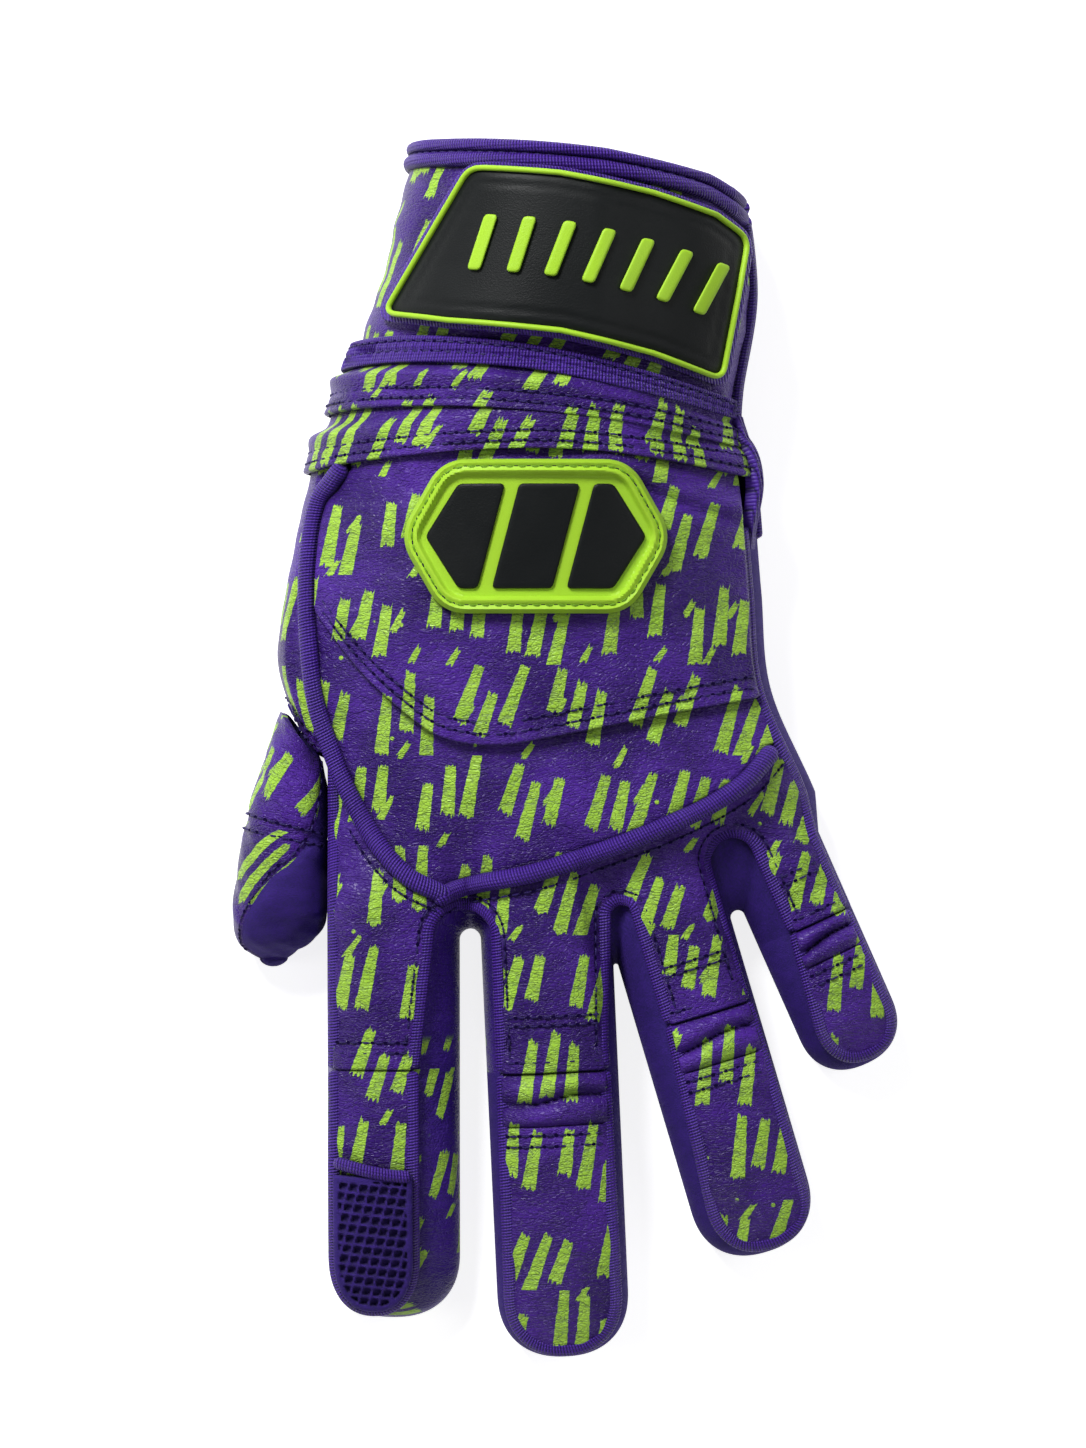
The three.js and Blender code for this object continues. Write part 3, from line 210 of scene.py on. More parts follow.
def seam_line(pixels: Sequence[Sequence[float]]) -> Line:
    """Seam line as a function from X to Y, carried on straight past its ends."""
    xs, ys = spline(plan(pixels), np.linspace(0, 1, len(pixels) * 12)).T
    before, after = [(ys[i + 1] - ys[i]) / (xs[i + 1] - xs[i]) for i in (0, -2)]
    return lambda x: np.interp(x, xs, ys) + before * np.minimum(x - xs[0], 0) + after * np.maximum(x - xs[-1], 0)


SEAMS = {name: seam_line(pixels) for name, pixels in SEAM_PIXELS.items()}
LEFT, RIGHT = plan(LEFT_EDGE), plan(RIGHT_EDGE)
PIPINGS = {name: spline(plan(PIPING_PIXELS[name]), np.linspace(0, 1, steps))
           for name, steps in (("left", 140), ("right", 100))}


def above(line: Line, distance: float) -> Line:
    """Seam line moved towards the wrist."""
    return lambda x: line(x) + distance


@dataclass(frozen=True)
class Finger:
    """Sizes of one finger, measured from the hinge at its middle knuckle.

    d runs along the finger from the hinge to the tip and c across it to the little finger side. The
    insets say how far the back panel stops inside the outline, on the thumb side and on the other.
    """

    name: str
    hinge: Pair
    splay: float
    width: float
    tip_length: float
    base_length: float
    root_insets: Pair
    insets: Pair
    end_insets: Pair
    flex_length: float

    def place(self, c: Array, d: Array) -> Array:
        """Plan place of (c, d)."""
        turn = math.radians(self.splay)
        x = c * math.cos(turn) + d * math.sin(turn)
        y = c * math.sin(turn) - d * math.cos(turn)
        return np.stack([x + self.hinge[0], y + self.hinge[1]], -1)

    def shares(self, x: Array, y: Array) -> tuple[Array, Array]:
        """(c, d) of a plan place."""
        turn = math.radians(self.splay)
        dx, dy = x - self.hinge[0], y - self.hinge[1]
        return dx * math.cos(turn) + dy * math.sin(turn), dx * math.sin(turn) - dy * math.cos(turn)

    def inset(self, side: int, d: Array) -> Array:
        """Inset of the back panel's edge at depth d on one side (-1 is the thumb side)."""
        pick = 0 if side < 0 else 1
        toward_root = np.interp(-d, [0, self.base_length], [self.insets[pick], self.root_insets[pick]])
        toward_tip = np.interp(d, [0, self.tip_length], [self.insets[pick], self.end_insets[pick]])
        return np.where(np.asarray(d) < 0, toward_root, toward_tip)

    def beside(self, inset: Inset, side: int, d: Array) -> Array:
        """Plan places on one side of the finger at depths d, an inset inside its outline."""
        d = np.asarray(d, float)
        return self.place(side * (self.width / 2 - inset(self, side, d)), d)

    def row(self, d: float) -> Array:
        """Row of plan places across the back panel at depth d."""
        ends = [side * (self.width / 2 - self.inset(side, np.array(d)) - 1.0) for side in (-1, 1)]
        return self.place(np.linspace(*ends, 60), np.full(60, d))

    def height(self, c: Array, d: Array) -> Array:
        """Height of the finger's back: level across, rounded off to its edges, falling towards the tip."""
        slim = self.width / FINGERS["middle"].width
        drop = EDGE_DROP * np.minimum(EDGE_REACH, np.abs(2 * c / self.width)) ** DOME_POWER
        root = np.clip(-d / self.base_length, 0, 1)
        tip = np.clip(d / self.tip_length, 0, 1)
        base = slim * (MIDDLE_HEIGHT + (KNUCKLE_HEIGHT - MIDDLE_HEIGHT) * root) - drop
        end = slim * (MIDDLE_HEIGHT + (END_HEIGHT - MIDDLE_HEIGHT) * tip ** DOME_POWER) - drop * (1 - tip / 2)
        return np.where(np.asarray(d) < 0, base, end)


FINGERS = {
    "index": Finger("index", (-33.7, -62.5), 0, 26.6, 51, 32, (1.5, 5.4), (1.5, 9.2), (1.5, 9.2), 10),
    "middle": Finger("middle", (-1.8, -63), 2.6, 26.4, 58.5, 32, (3, 1.4), (3, 2.6), (2.4, 2.4), 11),
    "ring": Finger("ring", (27, -52), 16.5, 24.4, 50.5, 24, (6.6, 1.6), (6.6, 1.6), (3.4, 1.6), 10.5),
    "little": Finger("little", (48.9, -34.2), 24, 20.4, 31, 16, (7.6, 1.6), (7.6, 1.6), (3, 1.6), 8),
}


def inset_by(distance: float) -> Inset:
    """Inset that is the same everywhere."""
    return lambda finger, side, d: np.full_like(d, distance)


ON_OUTLINE, ON_FOOT, PAST_FOOT = inset_by(0.0), inset_by(FOOT_INSET), inset_by(FOOT_INSET + 0.1)
ON_PANEL = Finger.inset


@dataclass(frozen=True)
class Crotch:
    """Gap between two fingers: where it starts to show, and the top of the arch sewn round it."""

    name: str
    fingers: tuple[Finger, Finger]
    gap: Pair
    arch: Pair


CROTCHES = (
    Crotch("indexMiddle", (FINGERS["index"], FINGERS["middle"]), (474, 930), (472, 905)),
    Crotch("middleRing", (FINGERS["middle"], FINGERS["ring"]), (619, 965), (620, 902)),
    Crotch("ringLittle", (FINGERS["ring"], FINGERS["little"]), (738, 912), (728, 836)),
)


def wall_profile(v: Array, inset: float | Array, edge: Array, waist: Array,
                 foot: float = FOOT_INSET) -> tuple[Array, Array]:
    """Side of a filled tube: a quarter round up to the waist, then an arc in to the back panel's edge.

    Args:
        v: 0 at the foot and 1 at the back panel's edge.
        inset: how far inside the outline the edge lies.
        edge: height of that edge.
        waist: height at which the side is widest.
        foot: how far inside the outline the foot lies.

    Returns:
        How far inside the outline the side lies, and its height.
    """
    low = np.clip(v / WAIST_AT, 0, 1) * math.pi / 2
    rise = np.clip((v - WAIST_AT) / (1 - WAIST_AT), 0, 1)
    high = math.pi / 2 + (SHOULDER - math.pi / 2) * rise
    offset_low, height_low = foot * (1 - np.sin(low)), waist * (1 - np.cos(low))
    offset_high = inset * (1 - np.sin(high)) / (1 - math.sin(SHOULDER))
    height_high = waist + (edge - waist) * np.cos(high) / math.cos(SHOULDER)
    under = v < WAIST_AT
    return np.where(under, offset_low, offset_high), np.where(under, height_low, height_high)


def raised(t: Array, height: Array) -> Array:
    """Height above the table: the wrist stands a little clear of it and the palm lies on it."""
    rise = WRIST_RISE * (1 - smoothstep(t, 0, WRIST_RISE_SHARE))
    return rise + height * (1 - rise / WRIST_HEIGHT)


def hand_point(t: Array, k: Array) -> Array:
    """Point of the hand's skin at station t and place k round it.

    k runs 0 to 1 over the back from the little finger side, 1 to 2 down the thumb side, 2 to 3 under
    the palm and 3 to 4 up again. The back is a crown whose height falls by a power of the distance
    from its middle.
    """
    t, k = np.broadcast_arrays(np.asarray(t, float), np.asarray(k, float))
    left, right = spline(LEFT, t), spline(RIGHT, t)
    inward = (right - left) / np.linalg.norm(right - left, axis=-1, keepdims=True)
    edge, crown = WRIST_HEIGHT * along(EDGE_SHARES, t), WRIST_HEIGHT * along(CROWN_SHARES, t)
    waist = edge * WAIST_SHARE
    side = np.mod(k, 4)
    start, end = right - inward * HAND_INSETS[1], left + inward * HAND_INSETS[0]
    share = np.clip(side, 0, 1)[..., None]
    back = start + (end - start) * share
    back_z = crown - (crown - edge) * np.abs(1 - 2 * share[..., 0]) ** DOME_POWER
    offset, left_z = wall_profile(np.clip(2 - side, 0, 1), HAND_INSETS[0], edge, waist)
    thumb_side = left + inward * offset[..., None]
    under = left + inward * FOOT_INSET
    under = under + (right - inward * FOOT_INSET - under) * np.clip(side - 2, 0, 1)[..., None]
    offset, right_z = wall_profile(np.clip(side - 3, 0, 1), HAND_INSETS[1], edge, waist)
    little_side = right - inward * offset[..., None]
    zone = [side <= 1, side <= 2, side <= 3]
    place = np.select([here[..., None] for here in zone], [back, thumb_side, under], little_side)
    z = np.select(zone, [back_z, left_z, np.zeros_like(back_z)], right_z)
    return np.concatenate([place, raised(t, z)[..., None]], -1)


def hand_height(x: Array, y: Array) -> Array:
    """Height of the back of the hand: the station is found by halving, then the crown's formula."""
    def seen_from(t: Array) -> tuple[Array, Array]:
        """Place from the left edge at t, and the way from there to the right edge."""
        left = spline(LEFT, t)
        return np.stack([x, y], -1) - left, spline(RIGHT, t) - left

    def below(t: Array) -> Array:
        """Whether a place lies on the finger side of the station t."""
        place, way = seen_from(t)
        return way[..., 0] * place[..., 1] - way[..., 1] * place[..., 0] <= 0

    t = halved(below, x)
    place, way = seen_from(t)
    width = np.linalg.norm(way, axis=-1)
    share = ((place * way).sum(-1) / width - HAND_INSETS[0]) / (width - sum(HAND_INSETS))
    edge, crown = WRIST_HEIGHT * along(EDGE_SHARES, t), WRIST_HEIGHT * along(CROWN_SHARES, t)
    return raised(t, crown - (crown - edge) * np.minimum(EDGE_REACH, np.abs(2 * share - 1)) ** DOME_POWER)


def back_height(x: Array, y: Array) -> Array:
    """Height of the back over the plan: the hand's crown mixed into the nearest fingers' backs."""
    x, y = np.broadcast_arrays(np.asarray(x, float), np.asarray(y, float))
    places = [(finger, *finger.shares(x, y)) for finger in FINGERS.values()]
    distances = np.stack([np.abs(c) / finger.width for finger, c, _ in places])
    weights = np.clip(1 - (distances - distances.min(0)) / VALLEY_SHARE, 0, None)
    weights = weights / weights.sum(0)
    height = sum(w * finger.height(c, d) for w, (finger, c, d) in zip(weights, places))
    reach = sum(w * smoothstep(d, -finger.base_length - KNUCKLE_BLEND, -finger.base_length)
                for w, (finger, _, d) in zip(weights, places))
    return hand_height(x, y) * (1 - reach) + height * reach


def unit(vectors: Array) -> Array:
    """Vectors brought to length one."""
    return vectors / np.maximum(np.linalg.norm(vectors, axis=-1, keepdims=True), 1e-9)


def right_of(way: Array) -> Array:
    """Plan directions a quarter turn to the right of others."""
    return np.stack([way[:, 1], -way[:, 0]], -1)


def closed(loop: Array) -> Array:
    """Outline with its first point repeated at its end."""
    return np.concatenate([loop, loop[:1]])


def run_of(points: Array, axis: int = 0) -> Array:
    """Length run so far along one axis of a row or a grid of points."""
    steps = np.linalg.norm(np.diff(points, axis=axis), axis=-1)
    return np.cumsum(np.insert(steps, 0, 0, axis=axis), axis=axis)


def picked(marks: Array, run: Array, points: Array) -> Array:
    """Points read off at marks along a run."""
    return np.stack([np.interp(marks, run, column) for column in points.T], -1)


def resample(points: Array, step: float) -> Array:
    """Polyline with evenly spaced points, about a step apart."""
    run = run_of(points)
    return picked(np.linspace(0, run[-1], max(2, round(run[-1] / step) + 1)), run, points)


def offset_line(points: Array, distance: float) -> Array:
    """Plan line moved to the right of its own direction."""
    return points + right_of(unit(np.gradient(points, axis=0))) * distance


def distance_to(line: Array, x: Array, y: Array) -> Array:
    """Distance in the plan from each place to a polyline: the least over its segments."""
    start, way = line[:-1], np.diff(line, axis=0)
    spot = np.stack([np.ravel(x), np.ravel(y)], -1)[:, None]
    share = np.clip(((spot - start) * way).sum(-1) / np.maximum((way * way).sum(-1), 1e-12), 0, 1)
    return np.linalg.norm(spot - start - way * share[..., None], axis=-1).min(1).reshape(np.shape(x))


def inside(loop: Array, x: Array, y: Array) -> Array:
    """Whether each place lies inside a closed outline, by counting crossings."""
    x0, y0 = loop.T
    x1, y1 = np.roll(x0, -1), np.roll(y0, -1)
    px, py = np.ravel(x)[:, None], np.ravel(y)[:, None]
    spans = (y0 > py) != (y1 > py)
    with np.errstate(divide="ignore", invalid="ignore"):
        crossing = x0 + (py - y0) * (x1 - x0) / (y1 - y0)
    return ((spans & (px < crossing)).sum(1) % 2 == 1).reshape(np.shape(x))


def gap_line(crotch: Crotch, inset: Inset, top: Sequence[float], steps: int = 24) -> Array:
    """U-shaped line round the gap between two fingers: down one side, round the arch, up the other.

    Args:
        crotch: the gap.
        inset: how far inside the outline the line runs.
        top: traced top of the arch, in pixels.
        steps: points along each of its three stretches.

    Returns:
        Its points in the plan.
    """
    sides = list(zip(crotch.fingers, (1, -1), [float(f.shares(*plan(top))[1]) for f in crotch.fingers]))
    tops = [finger.beside(inset, side, depth) for finger, side, depth in sides]
    half = np.linalg.norm(tops[0] - tops[1]) / 2
    start, stop = [finger.beside(inset, side, depth + half) for finger, side, depth in sides]
    middle = (start + stop) / 2
    arm = start - middle
    angle = -np.linspace(0, math.pi, steps)[:, None]
    arch = middle + arm * np.cos(angle) + np.array([-arm[1], arm[0]]) * np.sin(angle)
    down, up = [finger.beside(inset, side, np.linspace(0, depth + half, steps)[:-1])
                for finger, side, depth in sides]
    return np.concatenate([down, arch, up[::-1]])


def tip_line(finger: Finger, inset: Inset, end_gap: float, start: float = 0.0, steps: int = 30) -> Array:
    """Line round a fingertip: down the thumb side, round the end as half a superellipse, and back up."""
    half = finger.width / 2
    round_from = finger.tip_length - half
    reach = half - end_gap
    d = np.linspace(start, round_from, steps)[:-1]
    edges = [side * (half - inset(finger, side, np.array(round_from))) for side in (-1, 1)]
    centre, arm = sum(edges) / 2, (edges[1] - edges[0]) / 2
    angle = np.linspace(0, math.pi, 2 * steps)
    end = finger.place(centre - arm * bulged(np.cos(angle), 2 / TIP_POWER),
                       round_from + reach * np.sin(angle) ** (2 / TIP_POWER))
    return np.concatenate([finger.beside(inset, -1, d), end, finger.beside(inset, 1, d)[::-1]])


def bulged(value: Array, power: float) -> Array:
    """Power of a value that keeps its sign, as a superellipse takes of a sine and a cosine."""
    return np.sign(value) * np.abs(value) ** power


def hand_edge(side: int, inset: float, start_y: float, stop_y: float, steps: int = 60) -> Array:
    """Points along an edge of the hand between two heights in the plan, moved inside by an inset."""
    curve = spline(LEFT if side < 0 else RIGHT, np.linspace(0, 1, 400))[::-1]
    y = np.linspace(start_y, stop_y, steps)
    return np.stack([np.interp(y, curve[:, 1], curve[:, 0]) - side * inset, y], -1)


def across(line: Line, start_x: float, stop_x: float, steps: int = 80) -> Array:
    """Points of a seam line between two X."""
    x = np.linspace(start_x, stop_x, steps)
    return np.stack([x, line(x)], -1)


def rounded_loop(corners: Array, radius: float, steps: int = 6, bend: float = math.radians(25)) -> Array:
    """Closed outline whose sharp corners are rounded, each by a parabola between its two sides."""
    points: list[Array] = []
    share = np.linspace(0, 1, steps)[:, None]
    for corner, last, following in zip(corners, np.roll(corners, 1, 0), np.roll(corners, -1, 0)):
        back, ahead = last - corner, following - corner
        if math.acos(np.clip(np.dot(unit(-back), unit(ahead)), -1, 1)) < bend:
            points.append(corner[None])
            continue
        cut = min(radius, 0.45 * np.linalg.norm(back), 0.45 * np.linalg.norm(ahead))
        enter, leave = corner + unit(back) * cut, corner + unit(ahead) * cut
        points.append((1 - share) ** 2 * enter + 2 * share * (1 - share) * corner + share ** 2 * leave)
    return np.concatenate(points)


def area(loop: Array) -> float:
    """Twice the area inside an outline, below 0 where it runs clockwise."""
    x, y = loop.T
    return float(np.sum(x * np.roll(y, -1) - np.roll(x, -1) * y))


def grown(loop: Array, distance: float) -> Array:
    """Closed outline moved outwards, with mitred corners."""
    into, out = unit(loop - np.roll(loop, 1, 0)), unit(np.roll(loop, -1, 0) - loop)
    way = unit(into + out)
    return loop + right_of(way) * np.sign(area(loop)) * distance / (way * into).sum(-1, keepdims=True)


def edge_steps(length: float, step: float, soft: float) -> Array:
    """Shares from 0 to 1 with extra ones close to both ends, where an edge is rounded."""
    near = np.array([0.0, 0.12, 0.4, 1.0]) * soft / length
    middle = np.linspace(near[-1], 1 - near[-1], max(2, round(length / step)))
    return np.concatenate([near[:-1], middle, 1 - near[:-1][::-1]])


def edge_drop(distance: Array, radius: float) -> Array:
    """How far a rounded edge lies below its sheet: a quarter circle over the last radius."""
    return radius - np.sqrt(np.maximum(radius ** 2 - np.clip(radius - distance, 0, radius) ** 2, 0))


def quads(*corners: Array) -> Array:
    """Faces from four arrays of corners."""
    return np.stack([corner.ravel() for corner in corners], -1)


def section(side: Array, up: Array, around: int) -> Array:
    """Points round each place of a path, at even angles a: side cos(a) + up sin(a)."""
    angle = np.linspace(0, 2 * math.pi, around, endpoint=False)[:, None]
    return side[..., None, :] * np.cos(angle) + up[..., None, :] * np.sin(angle)


class Skin:
    """Vertices, faces and pattern places of one piece, gathered before Blender gets them."""

    def __init__(self) -> None:
        """Start empty."""
        self.points: list[Array] = []
        self.faces: list[Array] = []
        self.places: list[Array] = []
        self.kinds: list[int] = []
        self.count = 0

    def add(self, points: Array, places: Array, *groups: tuple[Array, int]) -> Skin:
        """Add vertices and faces.

        Args:
            points: vertices, in rows of three.
            places: their places in the pattern, in rows of two.
            groups: faces (m, corners) and the material that they get, 0 for the outside and 1 for the lining.

        Returns:
            This skin.
        """
        for faces, kind in groups:
            self.faces.append(faces + self.count)
            self.kinds.append(kind)
        self.points.append(points.reshape(-1, 3))
        self.places.append(places.reshape(-1, 2))
        self.count += len(self.points[-1])
        return self

    def join(self, other: Skin) -> Skin:
        """Add all of another skin."""
        return self.add(np.concatenate(other.points), np.concatenate(other.places), *zip(other.faces, other.kinds))

    def build(self, name: str) -> bpy.types.Object:
        """Make the Blender object, in metres in the frame's place, with its pattern map."""
        points = (np.concatenate(self.points) + np.array([*FRAME_SHIFT, 0.0])) * METRES
        places = np.concatenate(self.places) * METRES
        kinds = np.repeat(self.kinds, [len(group) for group in self.faces]).astype(np.int32)
        mesh = bpy.data.meshes.new(name)
        mesh.from_pydata(points, [], [face for group in self.faces for face in group.tolist()])
        mesh.polygons.foreach_set("material_index", kinds)
        corners = np.concatenate([group.ravel() for group in self.faces])
        mesh.uv_layers.new(name="pattern").data.foreach_set("uv", places[corners].ravel())
        mesh.shade_smooth()
        mesh.set_sharp_from_angle(angle=SHARP)
        return placed(name, mesh)


def placed(name: str, data: bpy.types.ID, place: Sequence[float] = (0, 0, 0)) -> bpy.types.Object:
    """Object with its data, put into the scene."""
    made = bpy.data.objects.new(name, data)
    made.location = place
    bpy.context.scene.collection.objects.link(made)
    return made


def sheet(points: Array, places: Array, thickness: float, lift: Array | float = 0.0, edges: str = "uv",
          soft: float = 0.45) -> Skin:
    """Closed sheet over a grid of points: lifted along its normals, with its named edges rounded off.

    Args:
        points: grid (nu, nv, 3) of the face that the panel lies on.
        places: grid (nu, nv, 2) of places in its pattern.
        thickness: of the sheet.
        lift: raises it along the normals, one value or a grid of them.
        edges: which edges are rounded, "u", "v", both or none.
        soft: radius of those edges.

    Returns:
        Its skin.
    """
    normal = unit(np.cross(np.gradient(points, axis=0), np.gradient(points, axis=1)))
    drop = np.zeros(points.shape[:2])
    for name, axis in (("u", 0), ("v", 1)):
        if name in edges:
            run = run_of(points, axis)
            drop = np.maximum(drop, edge_drop(np.minimum(run, run.take([-1], axis) - run), soft))
    lift = np.broadcast_to(lift, points.shape[:2])
    outer = points + normal * (lift - drop)[..., None]
    inner = points + normal * (lift - thickness)[..., None]
    a = np.arange(drop.size).reshape(drop.shape)
    b = a + a.size
    over = quads(a[:-1, :-1], a[1:, :-1], a[1:, 1:], a[:-1, 1:])
    below = quads(b[:-1, :-1], b[:-1, 1:], b[1:, 1:], b[1:, :-1])
    rim = np.concatenate([quads(a[:-1, 0], b[:-1, 0], b[1:, 0], a[1:, 0]),
                          quads(a[:-1, -1], a[1:, -1], b[1:, -1], b[:-1, -1]),
                          quads(a[0, :-1], a[0, 1:], b[0, 1:], b[0, :-1]),
                          quads(a[-1, :-1], b[-1, :-1], b[-1, 1:], a[-1, 1:])])
    return Skin().add(np.stack([outer, inner]), np.stack([places, places]), (over, 0), (rim, 0), (below, 1))


def cut_sheet(loop: Array, height: Height, thickness: float, step: float = 1.0, soft: float = 0.5,
              relief: Height | None = None) -> Skin:
    """Sheet z = height(x, y) cut to a closed outline, with a rounded edge.

    The plan is filled with a lattice inside the outline and rows of points close to its edge, and
    triangulated; the same triangles turned over make the underside, and a band of faces the rim.

    Args:
        loop: closed outline in the plan.
        height: height of the outer side.
        thickness: of the sheet.
        step: spacing of the lattice.
        soft: radius of the edge.
        relief: added to the outer side alone, by place.

    Returns:
        Its skin.
    """
    loop = loop if area(loop) > 0 else loop[::-1]
    loop = resample(closed(loop), step)[:-1]
    count, rim = len(loop), closed(loop)
    inward = -right_of(unit(np.roll(loop, -1, 0) - np.roll(loop, 1, 0)))

    def kept(spots: Array, clear: float) -> Array:
        """Those spots that lie inside the outline and clear of its edge."""
        spots = spots[inside(loop, *spots.T)]
        return spots[distance_to(rim, *spots.T) > clear]

    spans = [np.arange(column.min(), column.max(), step) for column in loop.T]
    lattice = np.stack(np.meshgrid(*spans, indexing="ij"), -1).reshape(-1, 2)
    rows = [kept(loop + inward * soft * share, 0.8 * soft * share) for share in (0.15, 0.45, 1.0)]
    places = np.concatenate([loop, kept(lattice, soft + 0.45 * step), *rows])
    ring = [(i, (i + 1) % count) for i in range(count)]
    flat, _, triangles, origins, _, _ = delaunay_2d_cdt([tuple(p) for p in places.tolist()], ring, [], 1, 1e-5)
    flat, top = np.array([tuple(p) for p in flat]), np.array(triangles)
    top = top[inside(loop, *flat[top].mean(1).T)]
    a, b, c = (flat[top[:, corner]] for corner in range(3))
    turned = (b - a)[:, 0] * (c - a)[:, 1] - (b - a)[:, 1] * (c - a)[:, 0] < 0
    top[turned] = top[turned][:, ::-1]
    place_of = np.full(len(places), -1)
    for new, old in enumerate(origins):
        if old:
            place_of[old] = new
    x, y = flat.T
    base = height(x, y)
    upper = base - edge_drop(distance_to(rim, x, y), soft)
    if relief is not None:
        upper = upper + relief(x, y)
    points = np.concatenate([np.stack([x, y, upper], -1), np.stack([x, y, base - thickness], -1)])
    start = place_of[:count]
    stop = np.roll(start, -1)
    band = quads(start, start + len(flat), stop + len(flat), stop)
    return Skin().add(points, np.tile(flat, (2, 1)), (top, 0), (band, 0), (top[:, ::-1] + len(flat), 1))


def flat_sheet(loop: Array, step: float) -> Skin:
    """Sheet of leather that lies on the table."""
    return cut_sheet(loop, lambda x, y: np.full_like(x, LEATHER), LEATHER, step, soft=0.3)


def tube_wall(outline: Array, edge: Array, foot: Array, height: Height, drop: float = WALL_DROP) -> Skin:
    """Side wall of a filled tube between the palm and the back, outside on the right of its lines.

    The section is wall_profile's, with its shares taken from the outline towards the foot and the
    back panel's edge.
    """
    v = edge_steps(WALL_HEIGHT, WALL_HEIGHT / WALL_ROWS, 0.5)
    height_there = height(*edge.T)[:, None] - drop
    share, z = wall_profile(v[None, :], 1.0, height_there, height_there * WAIST_SHARE, 1.0)
    target = np.where((v < WAIST_AT)[None, :, None], foot[:, None], edge[:, None])
    flat = outline[:, None] + (target - outline[:, None]) * share[..., None]
    points = np.concatenate([flat, z[..., None]], -1)
    places = np.stack(np.broadcast_arrays(run_of(points, 1), -run_of(outline)[:, None]), -1)
    return sheet(points, places, LEATHER, edges="v")


def stations(k: Array, line: Line) -> Array:
    """Station at which the hand's skin crosses a line at each place round it."""
    def above_line(t: Array) -> Array:
        """Whether the skin is still on the wrist side of the line."""
        point = hand_point(t, k)
        return point[:, 1] > line(point[:, 0])
    return halved(above_line, k)


def ring_panel(span: Pair, upper: Line, lower: Line, thickness: float, lift: Lift = 0.0,
               step: float = 1.2, edges: str = "uv", relief: Height | None = None) -> Skin:
    """Panel of the hand between two seam lines, over a stretch of the way round.

    Args:
        span: the stretch k, from and to.
        upper: seam line on the wrist side.
        lower: seam line on the finger side.
        thickness: of the panel.
        lift: raises it, by share of the way down and by k.
        step: spacing of its points.
        edges: which edges are rounded.
        relief: raises it further, by place.

    Returns:
        Its skin.
    """
    k = np.linspace(*span, max(8, round(abs(span[1] - span[0]) * SIDE_LENGTH / step)))
    start, stop = stations(k, upper), stations(k, lower)
    length = float(np.max(np.abs(stop - start))) * HAND_LENGTH
    v = edge_steps(max(length, 3.0), step, 0.5)
    t = start[:, None] + (stop - start)[:, None] * v[None, :]
    points = hand_point(t, k[:, None])
    places = np.stack(np.broadcast_arrays(points[0, 0, 0] - run_of(points[:, 0])[:, None], points[..., 1]), -1)
    raise_by = lift(np.broadcast_to(v, t.shape), k[:, None]) if callable(lift) else lift
    if relief is not None:
        raise_by = raise_by + relief(points[..., 0], points[..., 1])
    return sheet(points, places, thickness, raise_by, edges)


def roll(path: Array, radius: float, around: int = 20, normals: Array = UP, flat: float = 1.0) -> Skin:
    """Cord along a path: an ellipse carried square to it, closed by a dome at both ends.

    Args:
        path: its middle line.
        radius: half its width.
        around: points round it.
        normals: which way its flat side faces at each point.
        flat: its height as a share of its width.

    Returns:
        Its skin.
    """
    way = unit(np.gradient(path, axis=0))
    side = unit(np.cross(way, normals))
    run = run_of(path)
    size = radius * np.sqrt(np.clip(1 - np.clip(1 - np.minimum(run, run[-1] - run) / radius, 0, 1) ** 2, 1e-4, 1))
    points = path[:, None] + section(side, np.cross(side, way) * flat, around) * size[:, None, None]
    index = np.arange(len(path) * around).reshape(-1, around)
    turned = np.roll(index, -1, axis=1)
    faces = quads(index[:-1], index[1:], turned[1:], turned[:-1])
    start = quads(np.full(around, index.size), index[0], turned[0])
    end = quads(np.full(around, index.size + 1), turned[-1], index[-1])
    girth = np.linspace(0, 2 * math.pi * radius, around, endpoint=False)
    places = np.stack(np.broadcast_arrays(run[:, None], girth), -1).reshape(-1, 2)
    return Skin().add(np.concatenate([points.reshape(-1, 3), path[[0, -1]]]),
                      np.concatenate([places, np.zeros((2, 2))]), (faces, 0), (np.concatenate([start, end]), 0))


def closed_band(path: Array, normals: Array, radius: float, flat: float) -> Skin:
    """Ring of oval section along a closed path, with its height a share of its width."""
    side = unit(np.cross(unit(np.roll(path, -1, 0) - np.roll(path, 1, 0)), normals))
    cloud = path[:, None] + section(side, normals * flat, 12) * radius
    index = np.arange(len(path) * 12).reshape(-1, 12)
    turned = np.roll(index, -1, 1)
    faces = quads(index, turned, np.roll(turned, -1, 0), np.roll(index, -1, 0))
    return Skin().add(cloud, cloud[..., :2], (faces, 0))


def on_height(line: Array, height: Height, lift: float = 0.0) -> Row:
    """Plan line laid on a height field, and the field's normals there, from its two slopes."""
    x, y = line.T
    step = 0.4
    slope_x = (height(x + step, y) - height(x - step, y)) / (2 * step)
    slope_y = (height(x, y + step) - height(x, y - step)) / (2 * step)
    normal = unit(np.stack([-slope_x, -slope_y, np.ones_like(x)], -1))
    return np.stack([x, y, height(x, y)], -1) + normal * lift, normal


def on_hand(span: Pair, line: Line, lift: float = 0.0, steps: int = 300) -> Row:
    """Seam line laid on the hand's skin over a stretch of the way round, and the normals there."""
    k = np.linspace(*span, steps)
    t = stations(k, line)
    step = 1e-3
    along_k = hand_point(t, k + step) - hand_point(t, k - step)
    normal = unit(np.cross(along_k, hand_point(t + step, k) - hand_point(t - step, k)))
    return hand_point(t, k) + normal * lift, normal


